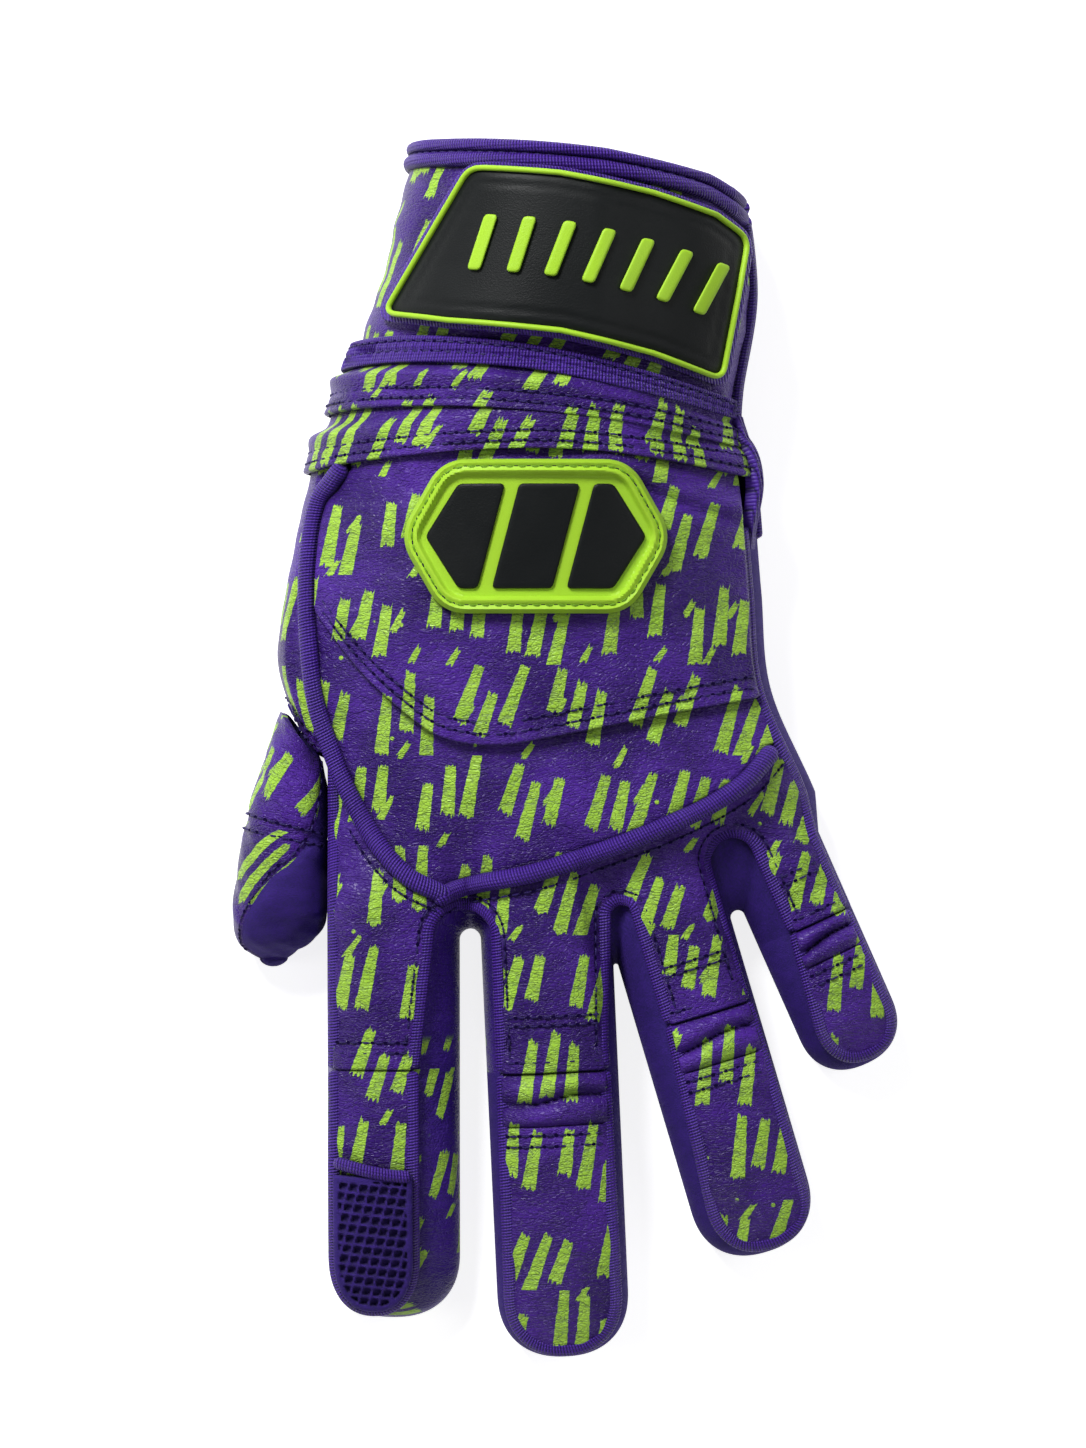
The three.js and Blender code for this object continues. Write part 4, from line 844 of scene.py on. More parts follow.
def stitches(rows: Sequence[Row], length: float = 1.7, gap: float = 0.75) -> Skin:
    """Sewn thread along rows of points: one short capsule to each stitch, its ends sunk in the leather.

    Along a stitch, with s from -1 to 1, the thread's radius is r (1 - s^4)^(1/2) and its middle stands
    r (0.7 - s^2) above the row.
    """
    skin = Skin()
    rings, around = 5, 6
    share = np.linspace(-1, 1, rings)
    girth = np.linspace(0, 2 * math.pi * THREAD_RADIUS, around, endpoint=False)
    size = THREAD_RADIUS * np.sqrt(np.clip(1 - share ** 4, 0.04, 1))
    rise = THREAD_RADIUS * (0.7 - share ** 2)
    for points, normals in rows:
        run = run_of(points)
        count = int(run[-1] // (length + gap))
        if count < 1:
            continue
        marks = (np.arange(count) + 0.5) * run[-1] / count
        at = marks[:, None] + share * length / 2
        middle, normal = picked(at, run, points), unit(picked(at, run, normals))
        side = unit(np.cross(unit(np.gradient(middle, axis=1)), normal))
        cloud = (middle + normal * rise[:, None])[:, :, None] + section(side, normal, around) * size[:, None, None]
        index = np.arange(count * rings * around).reshape(count, rings, around)
        turned = np.roll(index, -1, axis=2)
        faces = quads(index[:, :-1], turned[:, :-1], turned[:, 1:], index[:, 1:])
        skin.add(cloud, np.stack(np.broadcast_arrays(at[:, :, None], girth), -1), (faces, 0),
                 (index[:, 0, ::-1], 0), (index[:, -1], 0))
        # Dark discs of painted shade at the holes where the thread dives.
        skin.join(needle_hole_shade(points, normals, run, np.append(marks, run[-1]) - run[-1] / count / 2))
    return skin


def needle_hole_shade(points: Array, normals: Array, run: Array, marks: Array) -> Skin:
    """Small dark discs of painted shade where the thread dives into its holes, a little longer than wide, just above
    the leather.
    """
    around = 8
    normal = unit(picked(marks, run, normals))
    way = unit(picked(marks + 0.2, run, points) - picked(marks - 0.2, run, points))
    ring = section(np.cross(way, normal) * 1.6, way * 2.2, around)
    cloud = (picked(marks, run, points) + normal * 0.04)[:, None] + ring * THREAD_RADIUS
    faces = np.arange(len(marks) * around).reshape(-1, around)
    upright = (np.cross(ring[:, 0], ring[:, 1]) * normal).sum(-1) > 0
    return Skin().add(cloud, cloud[..., :2], (np.where(upright[:, None], faces, faces[:, ::-1]), 1))


def creases(x: Array, y: Array, size: float = 0.13) -> Array:
    """Soft unevenness of handled leather: three crossing waves, bent by slower ones."""
    bend = 2.2 * np.sin(0.11 * x + 0.5 * np.sin(0.09 * y))
    waves = 0.6 * np.sin(0.42 * y + bend) + 0.5 * np.sin(0.31 * x - 0.24 * y + 1.3 * np.sin(0.17 * y))
    return size * (waves + 0.35 * np.sin(0.9 * x + 0.7 * y + bend))


def bell(distance: Array, size: float, reach: float) -> Array:
    """Bell curve of a distance: a bulge, or a dip where its size is below 0."""
    return size * np.exp(-(distance / reach) ** 2)


def linear(code: str) -> tuple[float, float, float, float]:
    """Linear colour, with alpha, of a six-figure screen colour."""
    values = [int(code[i:i + 2], 16) / 255 for i in (0, 2, 4)]
    return (*[v / 12.92 if v <= 0.04045 else ((v + 0.055) / 1.055) ** 2.4 for v in values], 1.0)


@dataclass(frozen=True)
class Value:
    """Output of a node. A sum with it lays out the Math node that works the sum out."""

    graph: Graph
    socket: bpy.types.NodeSocket

    def __add__(self, other: Input) -> Value:
        """Sum."""
        return self.graph.math("ADD", self, other)

    def __sub__(self, other: Input) -> Value:
        """Difference."""
        return self.graph.math("SUBTRACT", self, other)

    def __rsub__(self, other: Input) -> Value:
        """Difference from something else."""
        return self.graph.math("SUBTRACT", other, self)

    def __mul__(self, other: Input) -> Value:
        """Product."""
        return self.graph.math("MULTIPLY", self, other)

    def __truediv__(self, other: Input) -> Value:
        """Quotient."""
        return self.graph.math("DIVIDE", self, other)

    def __abs__(self) -> Value:
        """Size without sign."""
        return self.graph.math("ABSOLUTE", self)


Input = float | tuple | str | Value
Inputs = dict[str | int, Input]


@dataclass(frozen=True)
class Graph:
    """Shorthand for laying out the nodes of one tree."""

    tree: bpy.types.NodeTree

    def node(self, kind: str, given: Inputs | Sequence[Input] = (), **settings: object) -> bpy.types.Node:
        """Lay out a node.

        Args:
            kind: its type, without "ShaderNode".
            given: its inputs by name or number, or in order: numbers, colour codes or values to link.
            settings: its properties.

        Returns:
            The node.
        """
        made = self.tree.nodes.new(kind if kind.startswith("NodeGroup") else "ShaderNode" + kind)
        for name, setting in settings.items():
            setattr(made, name, setting)
        for key, value in given.items() if isinstance(given, dict) else enumerate(given):
            if isinstance(value, Value):
                self.tree.links.new(value.socket, made.inputs[key])
            else:
                made.inputs[key].default_value = linear(value) if isinstance(value, str) else value
        return made

    def value(self, kind: str, given: Inputs | Sequence[Input] = (), output: str | int = 0,
              **settings: object) -> Value:
        """Lay out a node and take one of its outputs."""
        return Value(self, self.node(kind, given, **settings).outputs[output])

    def math(self, operation: str, *given: Input, clamp: bool = False) -> Value:
        """Result of a Math node."""
        return self.value("Math", given, operation=operation, use_clamp=clamp)

    def band(self, value: Input, low: float, high: float, bottom: float = 0.0, top: float = 1.0) -> Value:
        """Value eased from bottom to top between low and high."""
        return self.value("MapRange", (value, low, high, bottom, top), interpolation_type="SMOOTHSTEP")

    def noise(self, vector: Input, scale: float, detail: float = 2.0, rough: float = 0.5) -> Value:
        """Noise value."""
        return self.value("TexNoise", {"Vector": vector, "Scale": scale, "Detail": detail, "Roughness": rough}, "Fac")

    def cells(self, vector: Input, scale: float, feature: str = "F1") -> Value:
        """Distance in a cell pattern."""
        return self.value("TexVoronoi", {"Vector": vector, "Scale": scale}, "Distance", feature=feature)

    def mix(self, share: Input, a: Input, b: Input, blend: str = "MIX") -> Value:
        """Mixed colour."""
        return self.value("Mix", {0: share, 6: a, 7: b}, 2, data_type="RGBA", blend_type=blend)

    def shaded(self, colour: Input, share: Value) -> Value:
        """Colour times a share."""
        return self.mix(1.0, colour, self.joined(share, share, share), "MULTIPLY")

    def with_painted_crevice_shade(self, colour: Input, darkest: float = 0.3, reach: float = 0.0022) -> Value:
        """Colour darkened by painted shade where other surfaces stand close, as in seams and folds, from an ambient
        occlusion factor.
        """
        near = self.value("AmbientOcclusion", {"Distance": reach}, "AO", samples=6)
        return self.shaded(colour, self.band(near, 0.3, 0.95, darkest, 1.0))

    def bump(self, height: Value, depth: float) -> Value:
        """Normal of a height given in shares of a depth, in metres."""
        return self.value("Bump", {"Strength": 1.0, "Distance": depth, "Height": height})

    def scaled(self, vector: Input, scale: tuple[float, float, float], turn: float = 0.0) -> Value:
        """Vector stretched along its axes, after a turn about Z."""
        return self.value("Mapping", {"Vector": vector, "Rotation": (0, 0, turn), "Scale": scale})

    def split(self, vector: Input, kind: str = "SeparateXYZ") -> list[Value]:
        """Three numbers of a vector or a colour."""
        return [Value(self, socket) for socket in self.node(kind, (vector,)).outputs]

    def joined(self, x: Input, y: Input, z: Input = 0.0) -> Value:
        """Vector of three numbers."""
        return self.value("CombineXYZ", (x, y, z))

    def group(self, tree: bpy.types.NodeTree, *given: Input) -> list[Value]:
        """Outputs of a placed node group, with its inputs in order."""
        return [Value(self, socket) for socket in self.node("Group", given, node_tree=tree).outputs]


def emptied(owner: bpy.types.ID) -> Graph:
    """Graph on the emptied node tree of a material or a world."""
    owner.use_nodes = True
    owner.node_tree.nodes.clear()
    return Graph(owner.node_tree)


def new_group(name: str, inputs: Sequence[str], outputs: Sequence[str]) -> tuple[Graph, list[Value]]:
    """Start a shader node group whose first input is a vector and whose other sockets are numbers.

    Args:
        name: of the group.
        inputs: names of its inputs.
        outputs: names of its outputs.

    Returns:
        A graph on it, and its inputs as values.
    """
    tree = bpy.data.node_groups.new(name, "ShaderNodeTree")
    for way, labels in (("INPUT", inputs), ("OUTPUT", outputs)):
        for label in labels:
            kind = "NodeSocketVector" if label == "Vector" else "NodeSocketFloat"
            tree.interface.new_socket(label, in_out=way, socket_type=kind)
    graph = Graph(tree)
    sockets = graph.node("NodeGroupInput").outputs
    return graph, [Value(graph, sockets[label]) for label in inputs]


class Effects:
    """Surface effects that several finishes share, each one node group."""

    def __init__(self) -> None:
        """Build every group once."""
        self.grain = self._grain()
        self.slash = self._slash()
        self.knit = self._knit()

    def _grain(self) -> bpy.types.NodeTree:
        """Leather grain: small pebbles parted by creases, and long soft wrinkles and folds."""
        graph, (place,) = new_group("leather_grain", ["Vector"], ["Height", "Shade"])
        shift = graph.joined(graph.noise(place, 500), graph.noise(place, 430))
        bent = graph.value("VectorMath", (shift, (0.0006, 0.0006, 0.0), place), operation="MULTIPLY_ADD")
        pebble = graph.band(graph.cells(graph.scaled(bent, (0.8, 1.5, 1)), 1150, "DISTANCE_TO_EDGE"), 0.0, 0.2)
        wrinkle = graph.noise(graph.scaled(bent, (1, 3.4, 1), 0.12), 150, 3, 0.55)
        crease = graph.band(abs(wrinkle - 0.5), 0.0, 0.04)
        fold = graph.noise(graph.scaled(place, (1, 2.2, 1), 0.2), 75, 2, 0.45)
        slack = graph.noise(graph.scaled(place, (1, 1.7, 1), 0.5), 32, 2, 0.45)
        height = slack * 8.0 + fold * 4.5 + pebble * 0.5 + crease * 0.55 + graph.noise(place, 2600, 2) * 0.06
        graph.node("NodeGroupOutput", (height, (pebble + crease) * 0.5))
        return graph.tree

    def _slash(self) -> bpy.types.NodeTree:
        """Rough brush slashes in loose groups, one group to a cell of a staggered lattice.

        In each cell the place is turned by a slant and sorted to the nearest of the group's slashes.
        The ink covers it where it lies within the slash's half length and half width, both eaten away
        by streaky noise, and a share of the cells stays bare.
        """
        graph, given = new_group("brush_slash", ["Vector", "Cell width", "Cell height", "Half length", "Half width",
                                                 "Spread", "Reach", "Slant", "Bare", "Seed"], ["Mask"])
        place, cell_width, cell_height, half_length, half_width, spread, most, slant, bare, seed = given
        x, y, _ = graph.split(place)
        down = y / cell_height + seed
        row = graph.math("FLOOR", down)
        over = x / cell_width + row * 0.43 + seed
        column = graph.math("FLOOR", over)
        first, second, third = self._dice(graph, graph.joined(column, row, seed))
        off_x = (graph.math("FRACT", over) - 0.5) * cell_width + (second - 0.5) * 0.0022
        off_y = (graph.math("FRACT", down) - 0.5) * cell_height + (third - 0.5) * 0.0034
        u, w = self._turned(graph, off_x, off_y, slant + (first - 0.5) * 0.3)
        nearest = graph.math("MAXIMUM", graph.math("ROUND", u / spread), most * -1.0)
        nearest = graph.math("MINIMUM", most, nearest)
        lots = self._dice(graph, graph.joined(column, row, nearest + seed))
        w = w + (lots[0] - 0.5) * half_length
        u, w = self._turned(graph, u - nearest * spread, w, (lots[1] - 0.5) * 0.12)
        streak = graph.noise(graph.joined(u * 7.0, w, row), 240, 3, 0.6)
        ragged = graph.noise(place, 700, 3, 0.6)
        reach = half_length * (lots[2] * 0.4 + 0.6) + (streak - 0.5) * 0.0042
        wide = half_width * (1.0 - w / half_length * 0.22) + (ragged - 0.5) * 0.0006
        inked = graph.band(reach - abs(w), 0.0, 0.00016) * graph.band(wide - abs(u), 0.0, 0.00014)
        graph.node("NodeGroupOutput", (graph.math("GREATER_THAN", first, bare) * inked,))
        return graph.tree

    @staticmethod
    def _dice(graph: Graph, place: Value) -> list[Value]:
        """Three random numbers that stay the same over a cell."""
        return graph.split(graph.value("TexWhiteNoise", {"Vector": place}, "Color", noise_dimensions="3D"),
                           "SeparateColor")

    @staticmethod
    def _turned(graph: Graph, x: Value, y: Value, angle: Value) -> tuple[Value, Value]:
        """A place turned by an angle."""
        cosine, sine = graph.math("COSINE", angle), graph.math("SINE", angle)
        return x * cosine - y * sine, x * sine + y * cosine

    def _knit(self) -> bpy.types.NodeTree:
        """Knitted tape: fine slanted ribs across the tape, broken into yarns."""
        graph, (place, pitch, lean) = new_group("knit_ribs", ["Vector", "Pitch", "Lean"], ["Height"])
        x, y, _ = graph.split(place)
        rib = abs(graph.math("SINE", (x + y * lean) / pitch * math.pi))
        yarn = abs(graph.math("SINE", y / pitch * 2.6))
        graph.node("NodeGroupOutput", (graph.noise(place, 3000, 2) * 0.12 + yarn * 0.25 + rib * 0.7,))
        return graph.tree


class Map(Enum):
    """Which places a finish's pattern reads."""

    PATTERN = "UV"
    OBJECT = "Object"


@dataclass(frozen=True)
class Finish:
    """What every finish has: a name, its place map, its two tones, and how its material is put together."""

    name: str
    places: Map = Map.PATTERN
    ground: str = "000000"
    deep: str = "000000"

    def material(self, effects: Effects) -> Material:
        """Build the material: a Principled shader with what the finish paints."""
        material = bpy.data.materials.new(self.name)
        graph = emptied(material)
        place = graph.value("TexCoord", output=self.places.value)
        graph.node("OutputMaterial", (graph.value("BsdfPrincipled", self.paint(graph, place, effects)),))
        return material

    def paint(self, graph: Graph, place: Value, effects: Effects) -> Inputs:
        """Inputs of the Principled shader by name, from the places that the pattern reads."""
        raise NotImplementedError

    def tone(self, graph: Graph, share: Value) -> Value:
        """Colour between the finish's deep tone and its ground."""
        return graph.mix(share, self.deep, self.ground)


@dataclass(frozen=True)
class Leather(Finish):
    """Grained leather printed with brush slashes, everywhere or only below a line across the glove.

    The long and the short slashes are the inputs of the slash group, in its order.
    """

    ground: str = "5427A4"
    deep: str = "351672"
    ink: str = "A6DE3C"
    ink_pale: str = "BEEA56"
    rough: float = 0.4
    print_below: float | None = None
    long: tuple[float, ...] = (0.0172, 0.0178, 0.0068, 0.00128, 0.0043, 1.0, 0.2, 0.0, 3.0)
    short: tuple[float, ...] = (0.0083, 0.0091, 0.0026, 0.0007, 0.01, 0.0, 0.45, 0.68, 11.4)

    def paint(self, graph: Graph, place: Value, effects: Effects) -> Inputs:
        """Cloudy leather under a worn print whose edge is darker, with painted shade in its crevices."""
        height, shade = graph.group(effects.grain, place)
        cloud = graph.noise(place, 45, 3)
        colour = self.tone(graph, graph.band(cloud, 0.35, 0.7))
        # shade is the grain's crease mask: it wears the ink in the creases, and further down darkens the colour there
        # as painted shade.
        mask = self.print_mask(graph, place, effects) * graph.band(shade, 0.2, 0.75, 0.74, 1.0)
        ink = graph.mix(graph.noise(place, 130, 3), self.ink, self.ink_pale)
        rim = graph.band(abs(mask - 0.4), 0.0, 0.3, 0.62, 1.0)
        colour = graph.shaded(graph.shaded(graph.mix(mask, colour, ink), rim), graph.band(shade, 0.0, 0.8, 0.8, 1.0))
        return {"Base Color": graph.with_painted_crevice_shade(colour), "Specular IOR Level": 0.36, "Sheen Weight": 0.03,
                "Roughness": graph.band(cloud, 0.3, 0.7, self.rough - 0.05, self.rough + 0.06),
                "Normal": graph.bump(mask * 0.35 + height, 0.00022)}

    def print_mask(self, graph: Graph, place: Value, effects: Effects) -> Value:
        """Share of ink: groups of long slashes, small ones between them, and a few spots, all worn."""
        masks = [graph.group(effects.slash, place, *sizes)[0] for sizes in (self.long, self.short)]
        spots = graph.band(graph.cells(place, 230), 0.12, 0.09) * graph.band(graph.noise(place, 70), 0.6, 0.63)
        mask = graph.math("MAXIMUM", graph.math("MAXIMUM", *masks), spots)
        if self.print_below is not None:
            up = graph.split(graph.value("TexCoord", output="Object"))[1]
            mask = mask * graph.band(up, self.print_below, self.print_below - 0.002)
        return mask * (graph.band(graph.noise(place, 620, 4, 0.7), 0.3, 0.37) * 0.3 + 0.7)


@dataclass(frozen=True)
class Suede(Finish):
    """Brushed suede: fine nap with a soft sheen."""

    ground: str = "3E1C90"
    deep: str = "240E66"

    def paint(self, graph: Graph, place: Value, effects: Effects) -> Inputs:
        """Nap and longer strokes in it, with painted shade in its crevices."""
        nap = graph.noise(graph.scaled(place, (1, 2.2, 1)), 1900, 3, 0.7)
        stroke = graph.noise(graph.scaled(place, (1, 1.8, 1)), 260, 4, 0.6)
        colour = self.tone(graph, graph.band(nap * 0.7 + stroke * 0.3, 0.34, 0.66))
        return {"Base Color": graph.with_painted_crevice_shade(colour), "Roughness": graph.band(nap, 0.2, 0.8, 0.7, 0.92),
                "Sheen Weight": 0.12, "Sheen Roughness": 0.45, "Sheen Tint": "7A50D0",
                "Normal": graph.bump(stroke * 0.7 + nap, 0.00022)}


@dataclass(frozen=True)
class Knit(Finish):
    """Knitted tape with slanted ribs."""

    ground: str = "4E24A4"
    # deep: painted shade in the gaps between the ribs
    deep: str = "140540"
    pitch: float = 0.0006
    lean: float = 0.15

    def paint(self, graph: Graph, place: Value, effects: Effects) -> Inputs:
        """Ribs whose gaps are darkened with painted shade, a little cloudy, with painted shade in the crevices too.
        """
        ribs = graph.group(effects.knit, place, self.pitch, self.lean)[0]
        cloud = graph.noise(place, 90, 3)
        # The tone follows the ribs' height, so their gaps take the deep tone as painted shade.
        colour = graph.shaded(self.tone(graph, graph.band(ribs, 0.1, 0.75)), graph.band(cloud, 0.3, 0.7, 0.88, 1.06))
        return {"Base Color": graph.with_painted_crevice_shade(colour), "Roughness": graph.band(cloud, 0.3, 0.7, 0.44, 0.58),
                "Sheen Weight": 0.2, "Sheen Roughness": 0.4, "Sheen Tint": "8B62E0",
                "Normal": graph.bump(ribs, 0.00042)}


@dataclass(frozen=True)
class Rubber(Finish):
    """Moulded rubber: satin, with a fine skin and small scuffs."""

    places: Map = Map.OBJECT
    ground: str = "1E2123"
    deep: str = "121516"
    rough: float = 0.5

    def paint(self, graph: Graph, place: Value, effects: Effects) -> Inputs:
        """Deep tone where it is clean, ground where it is scuffed."""
        cloud = graph.noise(place, 60, 4, 0.6)
        scuff = graph.band(graph.noise(graph.scaled(place, (1, 7, 1), 0.6), 240, 4, 0.7), 0.6, 0.72)
        scuff = scuff * graph.band(cloud, 0.45, 0.6)
        return {"Base Color": self.tone(graph, scuff * 0.5 + cloud * 0.35), "Specular IOR Level": 0.24,
                "Roughness": graph.band(cloud + scuff, 0.3, 1.2, self.rough - 0.05, self.rough + 0.2),
                "Normal": graph.bump(cloud * 0.6 + graph.noise(place, 3200, 2), 0.00006)}


@dataclass(frozen=True)
class Pile(Finish):
    """Hook-and-loop pile: a dense dark nap."""

    places: Map = Map.OBJECT
    ground: str = "08080B"
    deep: str = "17171D"

    def paint(self, graph: Graph, place: Value, effects: Effects) -> Inputs:
        """Tufts that darken towards their gaps, as painted shade between them."""
        loops = graph.cells(place, 1500)
        return {"Base Color": self.tone(graph, graph.band(loops, 0.1, 0.6)),
                "Roughness": graph.band(loops, 0.0, 0.6, 0.8, 0.95), "Normal": graph.bump(1.0 - loops, 0.0004)}


@dataclass(frozen=True)
class Pit(Finish):
    """Shadowed leather at a needle hole."""

    ground: str = "160742"
    deep: str = "0B0324"

    def paint(self, graph: Graph, place: Value, effects: Effects) -> Inputs:
        """Dull dark tones."""
        return {"Base Color": self.tone(graph, graph.noise(place, 900)), "Roughness": 0.95, "Specular IOR Level": 0.1}


@dataclass(frozen=True)
class Thread(Finish):
    """Twisted sewing thread."""

    ground: str = "2E1670"
    deep: str = "170848"
    pitch: float = 0.00035
    lean: float = 0.9

    def paint(self, graph: Graph, place: Value, effects: Effects) -> Inputs:
        """The knit's ribs, close together and slanted, as a twist, with painted shade in its grooves."""
        twist = graph.group(effects.knit, place, self.pitch, self.lean)[0]
        # The deep tone lies in the grooves of the twist: painted shade.
        return {"Base Color": self.tone(graph, twist), "Roughness": graph.band(twist, 0.0, 1.0, 0.7, 0.5),
                "Normal": graph.bump(twist, 0.00008)}


class Body(Enum):
    """Moving bodies of the frame."""

    HAND = "hand"
    STRAP = "strap"
    THUMB = "thumb_tip"
    INDEX = "index_tip"
    MIDDLE = "middle_tip"
    RING = "ring_tip"
    LITTLE = "little_tip"


class Stock(Enum):
    """What a piece is cut from, by the record's material slot."""

    PRINTED = "printed_leather"
    SUEDE = "suede"
    TAPE = "knit_tape"
    LIME = "lime_rubber"
    BLACK = "black_rubber"
    PILE = "hook_and_loop"


@dataclass(frozen=True)
class Bend:
    """Stretch from the hand to another body, as two places in the plan; a piece given one is baked in place, and
    nothing here makes it bend.
    """

    body: Body
    start: Array
    end: Array


@dataclass
class Workshop:
    """Materials by stock, and the step that turns a skin into a mounted piece."""

    materials: dict[Stock, Material]
    lining: Material
    thread: Material
    # pit: the material of the discs of painted shade at the needle holes
    pit: Material
    fading: Material
    lime_thread: Material

    def mount(self, skin: Skin, name: str, stock: Stock, *nodes: str, ride: Body | Bend = Body.HAND,
              material: Material | None = None, inner: Material | None = None) -> None:
        """Build a piece, give it its material, attach it to its body or, given a bend, bake it in place, and let it
        stand for its nodes.

        Args:
            skin: its surface.
            name: of the piece.
            stock: what it is cut from.
            nodes: CAD nodes that it replaces.
            ride: the body that it moves with, or a bend between two, with which it is only baked in place.
            material: in place of the stock's own.
            inner: in place of the lining.
        """
        piece = skin.build(name)
        piece.data.materials.append(material or self.materials[stock])
        piece.data.materials.append(inner or self.lining)
        if isinstance(ride, Bend):
            start, end = [(float(p[0] + FRAME_SHIFT[0]) * METRES, float(p[1] + FRAME_SHIFT[1]) * METRES, 0.0)
                          for p in (ride.start, ride.end)]
            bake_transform(piece)
        else:
            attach(piece, ride.value)
        if nodes:
            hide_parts(*nodes)
        LOG.info("%s: %d faces, %s", name, len(piece.data.polygons), stock.value)

    def sew(self, name: str, rows: Sequence[Row], ride: Body | Bend = Body.HAND,
            thread: Material | None = None) -> None:
        """Sew rows of stitches as one piece."""
        self.mount(stitches(rows), name, Stock.TAPE, ride=ride, material=thread or self.thread, inner=self.pit)

    def wall(self, lines: Sequence[Array], height: Height, name: str, node: str, stock: Stock = Stock.SUEDE,
             ride: Body | Bend = Body.HAND, material: Material | None = None, drop: float = WALL_DROP) -> None:
        """Mount a side wall, and narrow ribbed tape over the seam between it and its back panel.

        Args:
            lines: its outline, its edge at the back panel, and its foot.
            height: height of the back panel.
            name: of the wall.
            node: CAD node that it replaces.
            stock: what it is cut from.
            ride: the body that both move with, or a bend between two, with which both are only baked in place.
            material: in place of the stock's own.
            drop: how far below the back panel's outer side its edge lies.
        """
        self.mount(tube_wall(*lines, height, drop), name, stock, node, ride=ride, material=material)
        path, normal = on_height(resample(lines[1], TAPE_RADIUS / 2), height, -TAPE_SINK)
        self.mount(roll(path, TAPE_RADIUS, 14, normal, TAPE_FLAT), name.removesuffix("_gusset") + "_tape", Stock.TAPE,
                   ride=ride)


def rows_of(distance: Array, marks: Sequence[float], depth: float = 0.22, reach: float = 0.7) -> Array:
    """Dips of rows of stitches that lie at marks along a distance."""
    return sum(bell(distance - mark, -depth, reach) for mark in marks)


